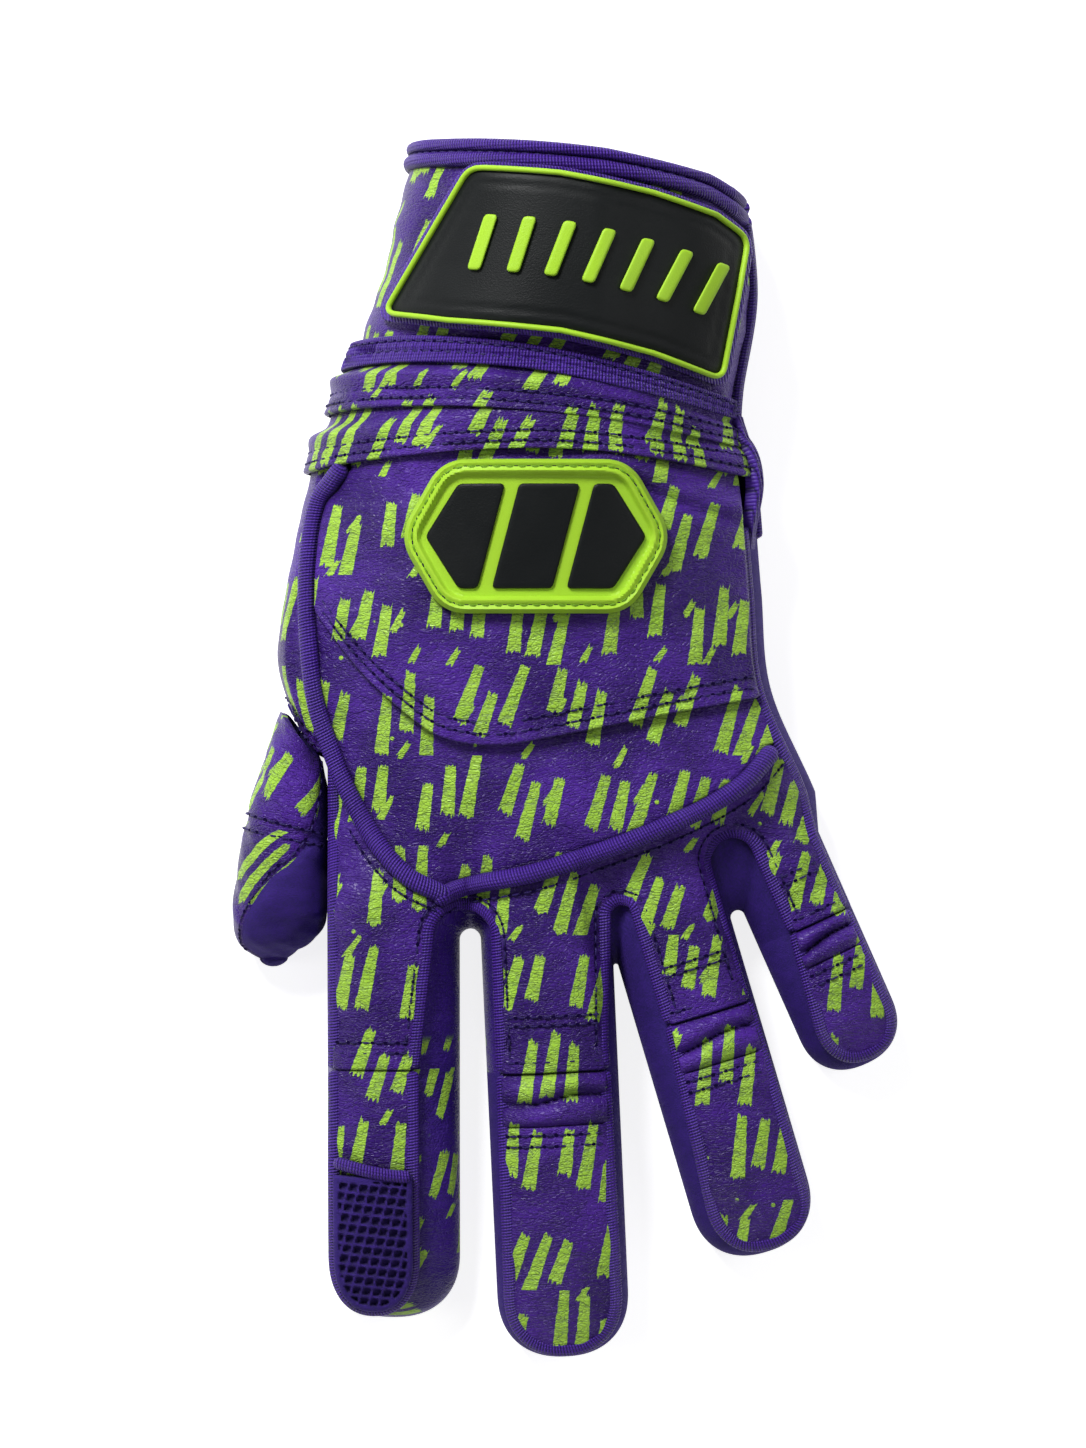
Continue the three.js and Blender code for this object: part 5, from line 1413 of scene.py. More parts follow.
@dataclass
class Cuff:
    """Cuff, slit, stitched band and the two lapped yokes at the wrist."""

    shop: Workshop
    slit_back_k: float = -0.3
    slit_palm_k: float = 3.46
    back_k: Pair = (-0.17, 1.86)
    roll_height: float = 1.25
    slit_roll: float = 1.2
    slit_roll_k: Pair = (3.632, 3.528)
    tab_k: Pair = (-0.3, -0.14)
    rows: Pair = (1.6, 3.6)

    def __post_init__(self) -> None:
        """Place the seam under the binding, and the cuff's end under the band."""
        self.start, self.end = above(SEAMS["mouth"], 0.4 - BINDING_HEIGHT), above(SEAMS["cuff_end"], -2.8)

    def build(self) -> None:
        """Build every piece of the cuff."""
        self.panels()
        self.binding()
        self.band()
        self.yokes()
        self.slit()

    def panels(self) -> None:
        """Printed back and bare palm of the cuff, dipped beside the binding and the band."""
        def puffed(x: Array, y: Array) -> Array:
            """Creases and dips by place."""
            near = bell(y - SEAMS["mouth"](x) + BINDING_HEIGHT, -0.4, 1.6)
            return creases(x, y, 0.3) + near + bell(y - SEAMS["cuff_end"](x), -0.4, 1.8)

        back = ring_panel((self.slit_back_k, THUMB_SEAM_K[0]), self.start, self.end, LEATHER, relief=puffed)
        self.shop.mount(back, "cuff_back", Stock.PRINTED, "cuff_back_panel")
        palm = ring_panel((THUMB_SEAM_K[1] - 0.012, self.slit_palm_k), self.start, above(SEAMS["palm_end"], 0.1),
                          LEATHER, relief=creases)
        self.shop.mount(palm, "cuff_palm", Stock.SUEDE, "cuff_palm_panel")

    def binding(self) -> None:
        """Two rolls of knitted tape round the mouth, with a row of stitches between them."""
        def rolls(v: Array, k: Array) -> Array:
            """Height of the two rolls: the root of a sine's size."""
            return self.roll_height * np.sqrt(np.abs(np.sin(2 * math.pi * v))) + 0 * k

        span = (self.slit_back_k, self.slit_palm_k)
        skin = ring_panel(span, SEAMS["mouth"], above(SEAMS["mouth"], -BINDING_HEIGHT), LEATHER + 0.4, rolls,
                          0.45, "v")
        self.shop.mount(skin, "cuff_binding_tape", Stock.TAPE, "cuff_binding")
        row = on_hand(span, above(SEAMS["mouth"], -BINDING_HEIGHT / 2), 0.35, 900)
        self.shop.sew("cuff_binding_thread", [row])

    def band(self) -> None:
        """Stitched elastic band, shirred into fine gathers across its length."""
        def gathers(v: Array, k: Array) -> Array:
            """Raised lap, gathered by a fast wave along the band and drawn in at its two rows."""
            wave = 0.14 * np.sin(k * 260) * np.sin(np.pi * v)
            return LAP_LIFT + wave + rows_of(v, (0.2, 0.52), 0.3, 0.06)

        skin = ring_panel(self.back_k, SEAMS["cuff_end"], SEAMS["band_end"], LEATHER, gathers, 0.5)
        self.shop.mount(skin, "wrist_band_elastic", Stock.TAPE, "wrist_band")
        rows = [on_hand(self.back_k, above(SEAMS["cuff_end"], -drop), LAP_LIFT - 0.2, 500) for drop in (1.1, 3.1)]
        self.shop.sew("wrist_band_thread", rows)

    def yokes(self) -> None:
        """Two yokes, each from under its neighbour to a lap that is sewn down with a double row."""
        edges = SEAMS["yoke_upper"], SEAMS["yoke_lower"]
        for name, start, edge, rise in (("upper", self.end, edges[0], (0.2, 0.45)),
                                        ("lower", above(edges[0], LAP_TUCK), edges[1], (0.3, 0.7))):
            skin = ring_panel(self.back_k, start, edge, LEATHER, lambda v, k: LAP_LIFT * smoothstep(v, *rise), 0.8,
                              relief=self.sewn(edge))
            self.shop.mount(skin, f"yoke_{name}", Stock.PRINTED, f"wrist_yoke_{name}")
        rows = [on_hand(self.back_k, above(edge, row), LAP_LIFT - 0.12, 500) for edge in edges for row in self.rows]
        self.shop.sew("yoke_thread", rows)

    def sewn(self, edge: Line) -> Height:
        """Relief of a lapped panel: creases, dips at the two rows above its edge, and a bulge above them."""
        def relief(x: Array, y: Array) -> Array:
            """Relief by place."""
            rise = y - edge(x)
            return creases(x, y, 0.2) + rows_of(rise, self.rows) + bell(rise - self.rows[1] - 2.9, 1.1, 1.7)
        return relief

    def slit(self) -> None:
        """Bound edges of the slit, and the doubled tab at its lower end."""
        top = float(SEAMS["mouth"](RIGHT[0, 0])) - BINDING_HEIGHT + 1.0
        ends = (float(self.end(RIGHT[3, 0])) + 0.2, float(SEAMS["slit_end"](0)) + SEAM_GAP)
        for name, k, end in zip(("back", "palm"), self.slit_roll_k, ends):
            y = np.linspace(top, end, 120)
            path = hand_point(halved(lambda t: hand_point(t, k)[:, 1] > y, y), k)
            self.shop.mount(roll(path, self.slit_roll), f"slit_{name}_tape", Stock.TAPE, f"slit_binding_{name}")

        def doubled(v: Array, k: Array) -> Array:
            """Two plump edges with a sewn channel between them."""
            share = (k - self.tab_k[0]) / (self.tab_k[1] - self.tab_k[0])
            plump = 1.3 + 0.8 * np.sqrt(np.abs(np.sin(2 * np.pi * share)))
            return plump * (1 - smoothstep(v, 0.72, 1.0)) + 1.3 * np.sin(np.pi * v)

        tab = ring_panel(self.tab_k, self.end, above(SEAMS["slit_end"], -2), 2 * LEATHER, doubled, 0.4)
        self.shop.mount(tab, "slit_tab_tape", Stock.TAPE, "slit_tab")


@dataclass
class HandBack:
    """Back of the hand: the upper panel lapped over the lower one, two pipings and the side panel."""

    shop: Workshop
    side_k: Pair = (1.06, 1.86)
    rows: Pair = (2.2, 4.4)
    piping_row: float = 3.5
    piping_row_end: Pair = (339, 831)
    fold: tuple = ((560, 478), (611, 470), (680, 492), (752, 512))

    def build(self) -> None:
        """Build every piece of the back of the hand."""
        self.upper()
        self.lower()
        self.pipings()
        self.side()

    def upper(self) -> None:
        """Upper panel, with a fold towards the slit and a double row above its lap."""
        lap = SEAMS["back_lap"]
        left = offset_line(PIPINGS["left"], -PIPING_TUCK)
        left = left[left[:, 1] > lap(left[:, 0]) + 0.1]
        end_x = PIPINGS["right"][-1, 0]
        right = hand_edge(1, HAND_EDGE_INSET, float(lap(end_x)), left[0, 1])
        foot = across(lap, left[-1, 0] + 0.2, right[0, 0] - 0.2, 200)
        head = across(above(SEAMS["yoke_lower"], LAP_TUCK), right[-1, 0], left[0, 0])
        fold = spline(plan(self.fold), np.linspace(0, 1, 40))

        def height(x: Array, y: Array) -> Array:
            """Outer side: it comes up from under the yoke and stays up to its lap."""
            share = smoothstep(SEAMS["yoke_lower"](x) - y, LAP_TUCK, LAP_TUCK + LAP_RUN)
            return back_height(x, y) + (LAP_LIFT * share - TUCK_SINK * (1 - share))

        def relief(x: Array, y: Array) -> Array:
            """Creases, the lip of the lap, the fold, and the dips at the rows of stitches."""
            rise = y - lap(x)
            folded = bell(distance_to(fold, x, y), 1.7, 2.6)
            beyond = distance_to(fold - np.array([0, 3.3]), x, y)
            lap_and_rows = rows_of(rise, self.rows) + bell(rise, 0.5, 1.2)
            return creases(x, y, 0.3) + lap_and_rows + folded - bell(beyond, 1.1, 1.2)

        skin = cut_sheet(np.concatenate([left, foot, right, head]), height, LEATHER, relief=relief)
        self.shop.mount(skin, "back_upper", Stock.PRINTED, "back_panel_upper")
        span = left[-1, 0] + 1.2, right[0, 0] - 0.8
        self.shop.sew("back_upper_thread",
                      [on_height(across(above(lap, row), *span, 300), height, -0.1) for row in self.rows])

    def lower(self) -> None:
        """Lower panel, between the lap and the two pipings."""
        lap = above(SEAMS["back_lap"], LAP_TUCK)
        left, right_piping = [offset_line(PIPINGS[name], -PIPING_TUCK) for name in ("left", "right")]
        left = left[left[:, 1] < lap(left[:, 0])]
        top = right_piping[-1]
        right = hand_edge(1, HAND_EDGE_INSET, top[1] + 0.1, float(lap(top[0])), 30)
        head = across(lap, right[-1, 0] - 0.1, left[0, 0] + 0.1)

        def relief(x: Array, y: Array) -> Array:
            """Creases, and the rise that meets the lap's underside."""
            return creases(x, y, 0.3) + LAP_GAP * smoothstep(y - SEAMS["back_lap"](x), 0.6, LAP_TUCK - 0.6)

        skin = cut_sheet(np.concatenate([left, right_piping, right, head]), back_height, LEATHER, relief=relief)
        self.shop.mount(skin, "back_lower", Stock.PRINTED, "back_panel_lower")

    def pipings(self) -> None:
        """Two covered cords and the rows of stitches beside them."""
        for name, line in PIPINGS.items():
            cord = roll(on_height(line, back_height, 0.35)[0], PIPING_RADIUS, 24)
            self.shop.mount(cord, f"piping_{name}_cord", Stock.TAPE, f"piping_{name}")
            beside = offset_line(resample(line, 0.8), self.piping_row)
            if name == "left":
                beside = beside[beside[:, 1] < plan(self.piping_row_end)[1]]
            self.shop.sew(f"piping_{name}_thread", [on_height(beside, back_height, 0.12)])

    def side(self) -> None:
        """Printed panel on the thumb side, sunk under the back and sewn to the thumb's web."""
        start = self.side_k[0]
        skin = ring_panel(self.side_k, above(SEAMS["yoke_lower"], LAP_TUCK), above(SEAMS["thumb_web"], 0.1), LEATHER,
                          lambda v, k: -1.5 * (1 - smoothstep(k, start + 0.1, start + 0.22)) + 0 * v, 0.9,
                          relief=creases)
        self.shop.mount(skin, "hand_side", Stock.PRINTED, "side_panel")
        rows = [on_hand(self.side_k, above(SEAMS["thumb_web"], row), 0.1, 120) for row in (1.3, 3.2)]
        self.shop.sew("hand_side_thread", rows)


@dataclass
class Knuckles:
    """Backs, gussets and outer sides of the finger bases, up to the hinges."""

    shop: Workshop
    index_rows: tuple[float, ...] = (-5.5, -3.4)
    other_rows: tuple[float, ...] = (-11.2, -9.4, -2.2)
    row_inset: float = 1.9
    slit_lap: float = 2.4

    def __post_init__(self) -> None:
        """Trace the edges of the back panels round the gaps between the fingers."""
        self.edges = [gap_line(crotch, ON_PANEL, crotch.arch) for crotch in CROTCHES]

    def build(self) -> None:
        """Build every piece of the finger bases."""
        self.index_back()
        self.finger_back()
        self.gussets()
        self.sides()
        self.rows()

    def lapped(self, fingers: Sequence[Finger]) -> Height:
        """Relief of a panel whose ends lap over the fingertips: creases, raised ends and sewn rows."""
        def relief(x: Array, y: Array) -> Array:
            """Relief by place: each finger's end rises where the place is nearest to that finger."""
            shares = [(finger, *finger.shares(x, y)) for finger in fingers]
            nearest = np.argmin([np.abs(c) / finger.width for finger, c, _ in shares], axis=0)
            raised_end = np.zeros_like(x)
            for number, (finger, _, d) in enumerate(shares):
                if finger.name == "index":
                    rows = rows_of(d, self.index_rows, 0.2)
                else:
                    rows = rows_of(d, self.other_rows[:2], 0.2) + rows_of(d, self.other_rows[2:], 0.15, 0.6)
                raised_end = np.where(nearest == number, 0.55 * smoothstep(d, -6.5, -2.5) + rows, raised_end)
            return creases(x, y, 0.26) + raised_end
        return relief

    def index_back(self) -> None:
        """Back of the index finger's base, up to the piping."""
        index, edge = FINGERS["index"], self.edges[0]
        side = index.beside(ON_PANEL, -1, np.linspace(THUMB_CROTCH, 0, 60))
        outside = offset_line(PIPINGS["left"], PIPING_TUCK)
        outside = outside[outside[:, 1] < side[0, 1]]
        loop = np.concatenate([side, edge[:len(edge) // 2], outside[::-1]])
        skin = cut_sheet(loop, back_height, LEATHER, 0.8, relief=self.lapped([index]))
        self.shop.mount(skin, "index_back", Stock.PRINTED, "index_back_panel")

    def finger_back(self) -> None:
        """One panel over the bases of the middle, ring and little fingers."""
        first, *others = self.edges
        little, right = FINGERS["little"], PIPINGS["right"]
        side = little.beside(ON_PANEL, 1, np.linspace(0, -little.base_length, 30))
        edge = hand_edge(1, HAND_EDGE_INSET, side[-1, 1] + ROOT_TURN, right[-1, 1], 30)
        loop = np.concatenate([first[len(first) // 2 + 1:], *others, side, edge,
                               offset_line(right, PIPING_TUCK)[::-1]])
        skin = cut_sheet(loop, back_height, LEATHER, 0.8, relief=self.lapped(list(FINGERS.values())[1:]))
        self.shop.mount(skin, "finger_back", Stock.PRINTED, "finger_back_panel")

    def gussets(self) -> None:
        """Suede gussets that wrap round the gaps between the fingers, and the tape along their edges."""
        for crotch, edge in zip(CROTCHES, self.edges):
            foot = gap_line(crotch, ON_FOOT, (crotch.gap[0], crotch.gap[1] - FOOT_INSET / MM_PER_PIXEL))
            self.shop.wall((gap_line(crotch, ON_OUTLINE, crotch.gap), edge, foot), back_height,
                           f"{crotch.name}_gusset", f"gusset_{crotch.name}",
                           material=self.shop.fading if crotch.name == "indexMiddle" else None)

    def sides(self) -> None:
        """Outer sides of the index finger's base and of the hand on the little finger side."""
        depths = np.linspace(THUMB_CROTCH, 0, 50)
        lines = [FINGERS["index"].beside(inset, -1, depths) for inset in (ON_OUTLINE, ON_PANEL, ON_FOOT)]
        self.shop.wall(lines, back_height, "index_side", "index_side_panel")
        lines = [self.ulnar(ON_OUTLINE, 0), self.ulnar(ON_PANEL, HAND_INSETS[1]), self.ulnar(ON_FOOT, FOOT_INSET)]
        self.shop.wall(lines, back_height, "hand_edge", "ulnar_side_panel", drop=LEATHER / 3)

    def ulnar(self, inset: Inset, hand_inset: float) -> Array:
        """Line down the little finger side: along the finger's base and on along the hand to the slit."""
        little = FINGERS["little"]
        finger = little.beside(inset, 1, np.linspace(0, -little.base_length, 40))
        end = float(SEAMS["slit_end"](0)) + self.slit_lap
        return np.concatenate([finger, hand_edge(1, hand_inset, finger[-1, 1] + ROOT_TURN, end, 70)])

    def rows(self) -> None:
        """Rows of stitches across each finger's base and along the edges of its panel."""
        rows = [on_height(finger.row(depth), back_height, 0.25 if depth > -7 else 0.0)
                for finger in FINGERS.values()
                for depth in (self.index_rows if finger.name == "index" else self.other_rows)]
        rows += [on_height(offset_line(resample(edge, 0.8), -self.row_inset), back_height, 0.05)
                 for edge in self.edges]
        self.shop.sew("knuckle_thread", rows)


@dataclass
class Palm:
    """Palm: one flat panel turned up on the thumb side, sewn round its edge."""

    shop: Workshop
    turned_k: Pair = (1.868, 2.1)
    row_inset: float = 2.4

    @staticmethod
    def outline() -> Array:
        """Closed outline of the flat part."""
        inset = FOOT_INSET + 0.1
        index, little = FINGERS["index"], FINGERS["little"]
        web = spline(plan(PALM_THUMB), np.linspace(0, 1, 12))
        start = float(SEAMS["palm_end"](0))
        left = hand_edge(-1, inset, start, web[0, 1] + LAP_TUCK)
        index_side = index.beside(PAST_FOOT, -1, np.linspace(THUMB_CROTCH, 0, 40))
        gaps = [gap_line(c, PAST_FOOT, (c.gap[0], c.gap[1] - inset / MM_PER_PIXEL)) for c in CROTCHES]
        little_side = little.beside(PAST_FOOT, 1, np.linspace(0, -little.base_length, 40))
        right = hand_edge(1, inset, little_side[-1, 1] + ROOT_TURN, start)
        return np.concatenate([left, web, index_side, *gaps, little_side, right])

    def build(self) -> None:
        """Build the palm and its stitches."""
        loop = self.outline()
        turned = ring_panel(self.turned_k, SEAMS["palm_end"], above(SEAMS["thumb_web"], 0.1), LEATHER - 0.1, -0.05)
        self.shop.mount(flat_sheet(loop, 2.0).join(turned), "palm", Stock.SUEDE, "palm_panel")
        inner = resample(grown(resample(loop, 2.0), -self.row_inset), 0.9)
        inner = inner[inside(loop, *inner.T)]
        breaks = np.flatnonzero(np.linalg.norm(np.diff(inner, axis=0), axis=1) > 3) + 1
        rows = [(np.column_stack([part, np.zeros(len(part))]), np.tile([0.0, 0.0, -1.0], (len(part), 1)))
                for part in np.split(inner, breaks) if len(part) > 8]
        self.shop.sew("palm_thread", rows)


@dataclass
class Fingertip:
    """Outer half of one finger, beyond its middle knuckle, which bends on its hinge."""

    shop: Workshop
    finger: Finger
    rows: Pair = (1.7, 3.9)
    fold_height: float = 2.4
    fold_lean: float = 0.09
    folds: int = 2
    grip_start: float = 21.0
    grip_thickness: float = 1.6
    recess_side: float = 1.35
    recess_pitch: float = 2.1
    recess_depth: float = 1.0

    def __post_init__(self) -> None:
        """Note the finger's name, its body, and the bend from the hinge to the end of the flexing zone."""
        self.name = self.finger.name
        self.is_index = self.name == "index"
        self.body = Body[self.name.upper()]
        self.bend = Bend(self.body, *[self.finger.place(0.0, d) for d in (0.0, self.finger.flex_length)])

    def height(self, x: Array, y: Array) -> Array:
        """Height of the finger's back."""
        return self.finger.height(*self.finger.shares(x, y))

    def build(self) -> None:
        """Build every piece of the tip."""
        self.gusset()
        self.front()
        self.back()
        if self.is_index:
            self.grip()
        else:
            self.flex()

    def gusset(self) -> None:
        """Gusset that wraps round the tip, and the tape between it and the back."""
        lines = [tip_line(self.finger, inset, gap) for inset, gap in ((ON_OUTLINE, 0.0), (ON_PANEL, END_INSET),
                                                                      (ON_FOOT, FOOT_INSET))]
        stock, material = (Stock.PRINTED, self.shop.fading) if self.is_index else (Stock.SUEDE, None)
        self.shop.wall(lines, self.height, f"{self.name}_gusset", f"{self.name}_tip_gusset", stock, self.bend,
                       material)

    def front(self) -> None:
        """Palm side of the tip."""
        skin = flat_sheet(tip_line(self.finger, PAST_FOOT, FOOT_INSET + 0.1), 1.6)
        self.shop.mount(skin, f"{self.name}_front", Stock.SUEDE, f"{self.name}_tip_front", ride=self.bend)

    def back(self) -> None:
        """Printed back of the tip, which on all but the index starts in a lap with two sewn rows."""
        start = 0.0 if self.is_index else self.finger.flex_length - 0.3

        def relief(x: Array, y: Array) -> Array:
            """Creases, and on a lapped tip the raised start with its two rows."""
            d = self.finger.shares(x, y)[1] - start
            lap = 0.0 if self.is_index else 0.5 * (1 - smoothstep(d, 4, 9)) + rows_of(d, self.rows, 0.2, 0.6)
            return creases(x + 40 * self.finger.splay, y, 0.24) + lap

        skin = cut_sheet(tip_line(self.finger, ON_PANEL, END_INSET, start), self.height, LEATHER, 0.8, relief=relief)
        self.shop.mount(skin, f"{self.name}_back_end", Stock.PRINTED, f"{self.name}_tip_back",
                        ride=self.bend if self.is_index else self.body)
        if not self.is_index:
            rows = [on_height(self.finger.row(start + row), self.height, 0.35) for row in self.rows]
            self.shop.sew(f"{self.name}_thread", rows, self.body)

    def flex(self) -> None:
        """Flex panel over the knuckle, gathered into rolls: the height gains f |sin (n pi d / length)|^0.7."""
        length = self.finger.flex_length
        left, right = [self.finger.beside(ON_PANEL, side, np.linspace(0, length, 30)) for side in (-1, 1)]

        def relief(x: Array, y: Array) -> Array:
            """The folds, bent a little across the finger, and its creases."""
            c, depth = self.finger.shares(x, y)
            lean = self.fold_lean * c + 0.5 * np.sin(c * 0.35)
            phase = self.folds * math.pi * (depth + lean * np.sin(math.pi * depth / length)) / length
            return self.fold_height * np.abs(np.sin(phase)) ** 0.7 - 0.9 + creases(x, y, 0.12)

        skin = cut_sheet(np.concatenate([left, right[::-1]]), self.height, LEATHER, 0.5, 0.3, relief)
        self.shop.mount(skin, f"{self.name}_flex", Stock.PRINTED, f"{self.name}_flex_panel", ride=self.bend)

    def grip(self) -> None:
        """Grip patch with rows of rounded square recesses under a rolled top edge."""
        loop = tip_line(self.finger, ON_PANEL, END_INSET, self.grip_start)
        rim = closed(loop)

        def height(x: Array, y: Array) -> Array:
            """Outer side of the patch."""
            return self.height(x, y) + (LAP_GAP + self.grip_thickness)

        def relief(x: Array, y: Array) -> Array:
            """Recesses: in each cell of the grid, a rounded square of side s is sunk."""
            c, d = self.finger.shares(x, y)
            slanted = (c + 0.28 * d, d - self.grip_start - 0.1 * c)
            local = [np.mod(value, self.recess_pitch) - self.recess_pitch / 2 for value in slanted]
            square = (np.abs(local[0]) ** 4 + np.abs(local[1]) ** 4) ** 0.25
            sunk = 1 - smoothstep(square, self.recess_side / 2 - 0.1, self.recess_side / 2 + 0.22)
            return -self.recess_depth * sunk * smoothstep(distance_to(rim, x, y), 1.0, 1.5)

        skin = cut_sheet(loop, height, self.grip_thickness, 0.31, 0.7, relief)
        self.shop.mount(skin, "index_grip", Stock.TAPE, "index_grip_patch", ride=self.body,
                        material=self.shop.materials[Stock.SUEDE])
        half = self.finger.width / 2
        inset = float(self.finger.inset(1, np.array(self.grip_start)))
        c = np.linspace(1.6 - half, half - inset - 0.2, 60)
        bow = 3.4 * np.sin((c / half + 1) * 1.15) - 2.6
        path, normal = on_height(self.finger.place(c, self.grip_start + bow - 0.6), height, -0.3)
        self.shop.mount(roll(path, 1.25, 20, normal, 0.85), "index_grip_roll", Stock.TAPE, ride=self.body)


@dataclass
class WristStrap:
    """Rubber-faced strap over the cuff: it grips the pad and turns on its sewn end."""

    shop: Workshop
    margin: float = 1.0
    corner: float = 3.0
    band_thickness: float = 1.0
    plate_thickness: float = 1.5
    step_height: float = 0.45
    rim_width: float = 0.9
    rim_height: float = 0.7
    pad_thickness: Pair = (0.8, 0.7)
    ramp_run: float = 12.0
    bar_count: int = 7
    bar_width: float = 2.6
    bar_height: float = 1.0
    bar_length: float = 11.0
    bar_slant: float = 1.2
    bar_corner: float = 0.85

    def level(self, rise: float) -> Height:
        """Surface a rise above the strap's underside: clear of the pads, and down on the cuff at its sewn end."""
        end, reach = plan(STRAP[4])[0], plan(PAD_END)[0]

        def height(x: Array, y: Array) -> Array:
            """Height by place."""
            over = smoothstep(end - x, end - reach - self.ramp_run, end - reach)
            return back_height(x, y) + SEAM_GAP + (2 * SEAM_GAP + sum(self.pad_thickness)) * over + rise
        return height

    def edge(self, distance: float) -> Array:
        """Rounded outline a distance outside the rubber plate's own."""
        return rounded_loop(grown(plan(STRAP), distance), self.corner + distance)

    def build(self) -> None:
        """Build every layer, from the pads up to the bars."""
        self.pads()
        skin = cut_sheet(self.edge(self.margin), self.level(self.band_thickness), self.band_thickness, 1.2, 0.4)
        self.shop.mount(skin, "strap_webbing", Stock.TAPE, "strap_band", ride=Body.STRAP)
        top = self.band_thickness + SEAM_GAP + self.plate_thickness
        self.plate(top)
        self.rim(top)
        self.bars(top)

    def plate(self, top: float) -> None:
        """Moulded rubber plate with a step inside its edge, where it falls a little towards the rim."""
        inner = self.edge(-self.rim_width)
        rim = closed(inner)

        def dished(x: Array, y: Array) -> Array:
            """Height of the step by place."""
            distance = distance_to(rim, x, y)
            return self.step_height * smoothstep(distance, 0.3, 1.4) - bell(distance - 2.4, 0.3, 0.5)

        skin = cut_sheet(inner, self.level(top - self.step_height), self.plate_thickness, 0.8, 0.3, dished)
        self.shop.mount(skin, "strap_face", Stock.BLACK, "strap_plate", ride=Body.STRAP)

    def rim(self, top: float) -> None:
        """Thin raised rim of lime rubber round the plate."""
        path = resample(closed(self.edge(-self.rim_width / 2)), 0.6)[:-1]
        points, normals = on_height(path, self.level(top + self.rim_height / 2 - 0.35))
        flat = (self.plate_thickness + self.rim_height) / self.rim_width / 2
        self.shop.mount(closed_band(points, normals, self.rim_width / 2 + 0.1, flat), "strap_edge", Stock.LIME,
                        "strap_rim", ride=Body.STRAP)

    def bars(self, top: float) -> None:
        """Row of raised slanted bars, the plate's generic decoration."""
        line = resample(spline(plan(BAR_LINE), np.linspace(0, 1, 120)), 0.2)
        ways = unit(np.gradient(line, axis=0))
        for i in range(self.bar_count):
            at = round(i / (self.bar_count - 1) * (len(line) - 1))
            place, way = line[at], ways[at]
            up = np.array([-way[1], way[0]])
            corners = [place + way * (side * self.bar_width / 2 + end * self.bar_slant)
                       + up * end * self.bar_length / 2 for side, end in ((-1, -1), (1, -1), (1, 1), (-1, 1))]
            skin = cut_sheet(rounded_loop(np.array(corners), self.bar_corner),
                             self.level(top + 0.1 + self.bar_height), self.bar_height + 0.2, 0.5, 0.45)
            self.shop.mount(skin, f"strap_bar_face_{i + 1}", Stock.LIME, f"strap_bar_{i + 1}", ride=Body.STRAP)

    def pads(self) -> None:
        """Loop pad on the cuff and hook pad under the strap."""
        loops, hooks = self.pad_thickness
        for name, node, body, shape, top, thickness in (
                ("cuff_loop_pad", "loop_pad", Body.HAND, plan(PAD), SEAM_GAP + loops, loops),
                ("strap_hooks", "strap_hook_pad", Body.STRAP, grown(plan(PAD), -self.margin),
                 2 * SEAM_GAP + loops + hooks, hooks)):
            skin = cut_sheet(rounded_loop(shape, self.corner), lambda x, y: back_height(x, y) + top, thickness, 1.5)
            self.shop.mount(skin, name, Stock.PILE, node, ride=body)


@dataclass
class Badge:
    """Moulded rubber badge on the back of the hand: a grooved lime rim round a black recess."""

    shop: Workshop
    length: float = 54.0
    width: float = 30.0
    corner: float = 5.0
    base_thickness: float = 1.3
    rim_width: float = 3.0
    rim_height: float = 1.0
    groove_at: float = 1.55
    inset_thickness: float = 0.8
    outline: tuple = ((-1, 0), (-0.68, -1), (0.68, -1), (1, 0), (0.68, 1), (-0.68, 1))
    insets: tuple = (((-0.8, 0), (-0.56, -0.68), (-0.42, -0.68), (-0.22, 0.68), (-0.56, 0.68)),
                     ((-0.32, -0.68), (0.12, -0.68), (0.32, 0.68), (-0.12, 0.68)),
                     ((0.22, -0.68), (0.56, -0.68), (0.8, 0), (0.56, 0.68), (0.42, 0.68)))

    def points(self, shares: Sequence[Sequence[float]]) -> Array:
        """Places in the plan from shares of the badge's half sizes."""
        return np.array(shares) * np.array([self.length, self.width]) / 2 + plan(BADGE_CENTRE)

    def top(self, x: Array, y: Array) -> Array:
        """Floor of the badge."""
        return back_height(x, y) + LAP_LIFT + SEAM_GAP + self.base_thickness

    def build(self) -> None:
        """Build the base and its insets."""
        loop = rounded_loop(self.points(self.outline), self.corner, 14)
        rim = closed(loop)

        def profile(x: Array, y: Array) -> Array:
            """Rounded rim with a groove along its middle, falling to the floor inside it."""
            distance = distance_to(rim, x, y)
            fall = smoothstep(distance, self.rim_width - 0.5, self.rim_width + 0.4)
            crest = smoothstep(distance, 0, 0.9) * (1 - fall)
            return (self.rim_height + 0.5) * crest - bell(distance - self.groove_at, 0.55, 0.4)

        skin = cut_sheet(loop, self.top, self.base_thickness, 0.42, 0.8, profile)
        self.shop.mount(skin, "badge_shell", Stock.LIME, "badge_base")
        row = resample(closed(grown(loop, -self.groove_at)), 0.6)
        self.shop.sew("badge_thread", [on_height(row, lambda x, y: self.top(x, y) + profile(x, y), 0.06)],
                      thread=self.shop.lime_thread)
        thickness = self.inset_thickness
        for i, shares in enumerate(self.insets, 1):
            skin = cut_sheet(rounded_loop(self.points(shares), 1.0), lambda x, y: self.top(x, y) + thickness,
                             thickness + 0.2, 0.6)
            self.shop.mount(skin, f"badge_face_{i}", Stock.BLACK, f"badge_inset_{i}")


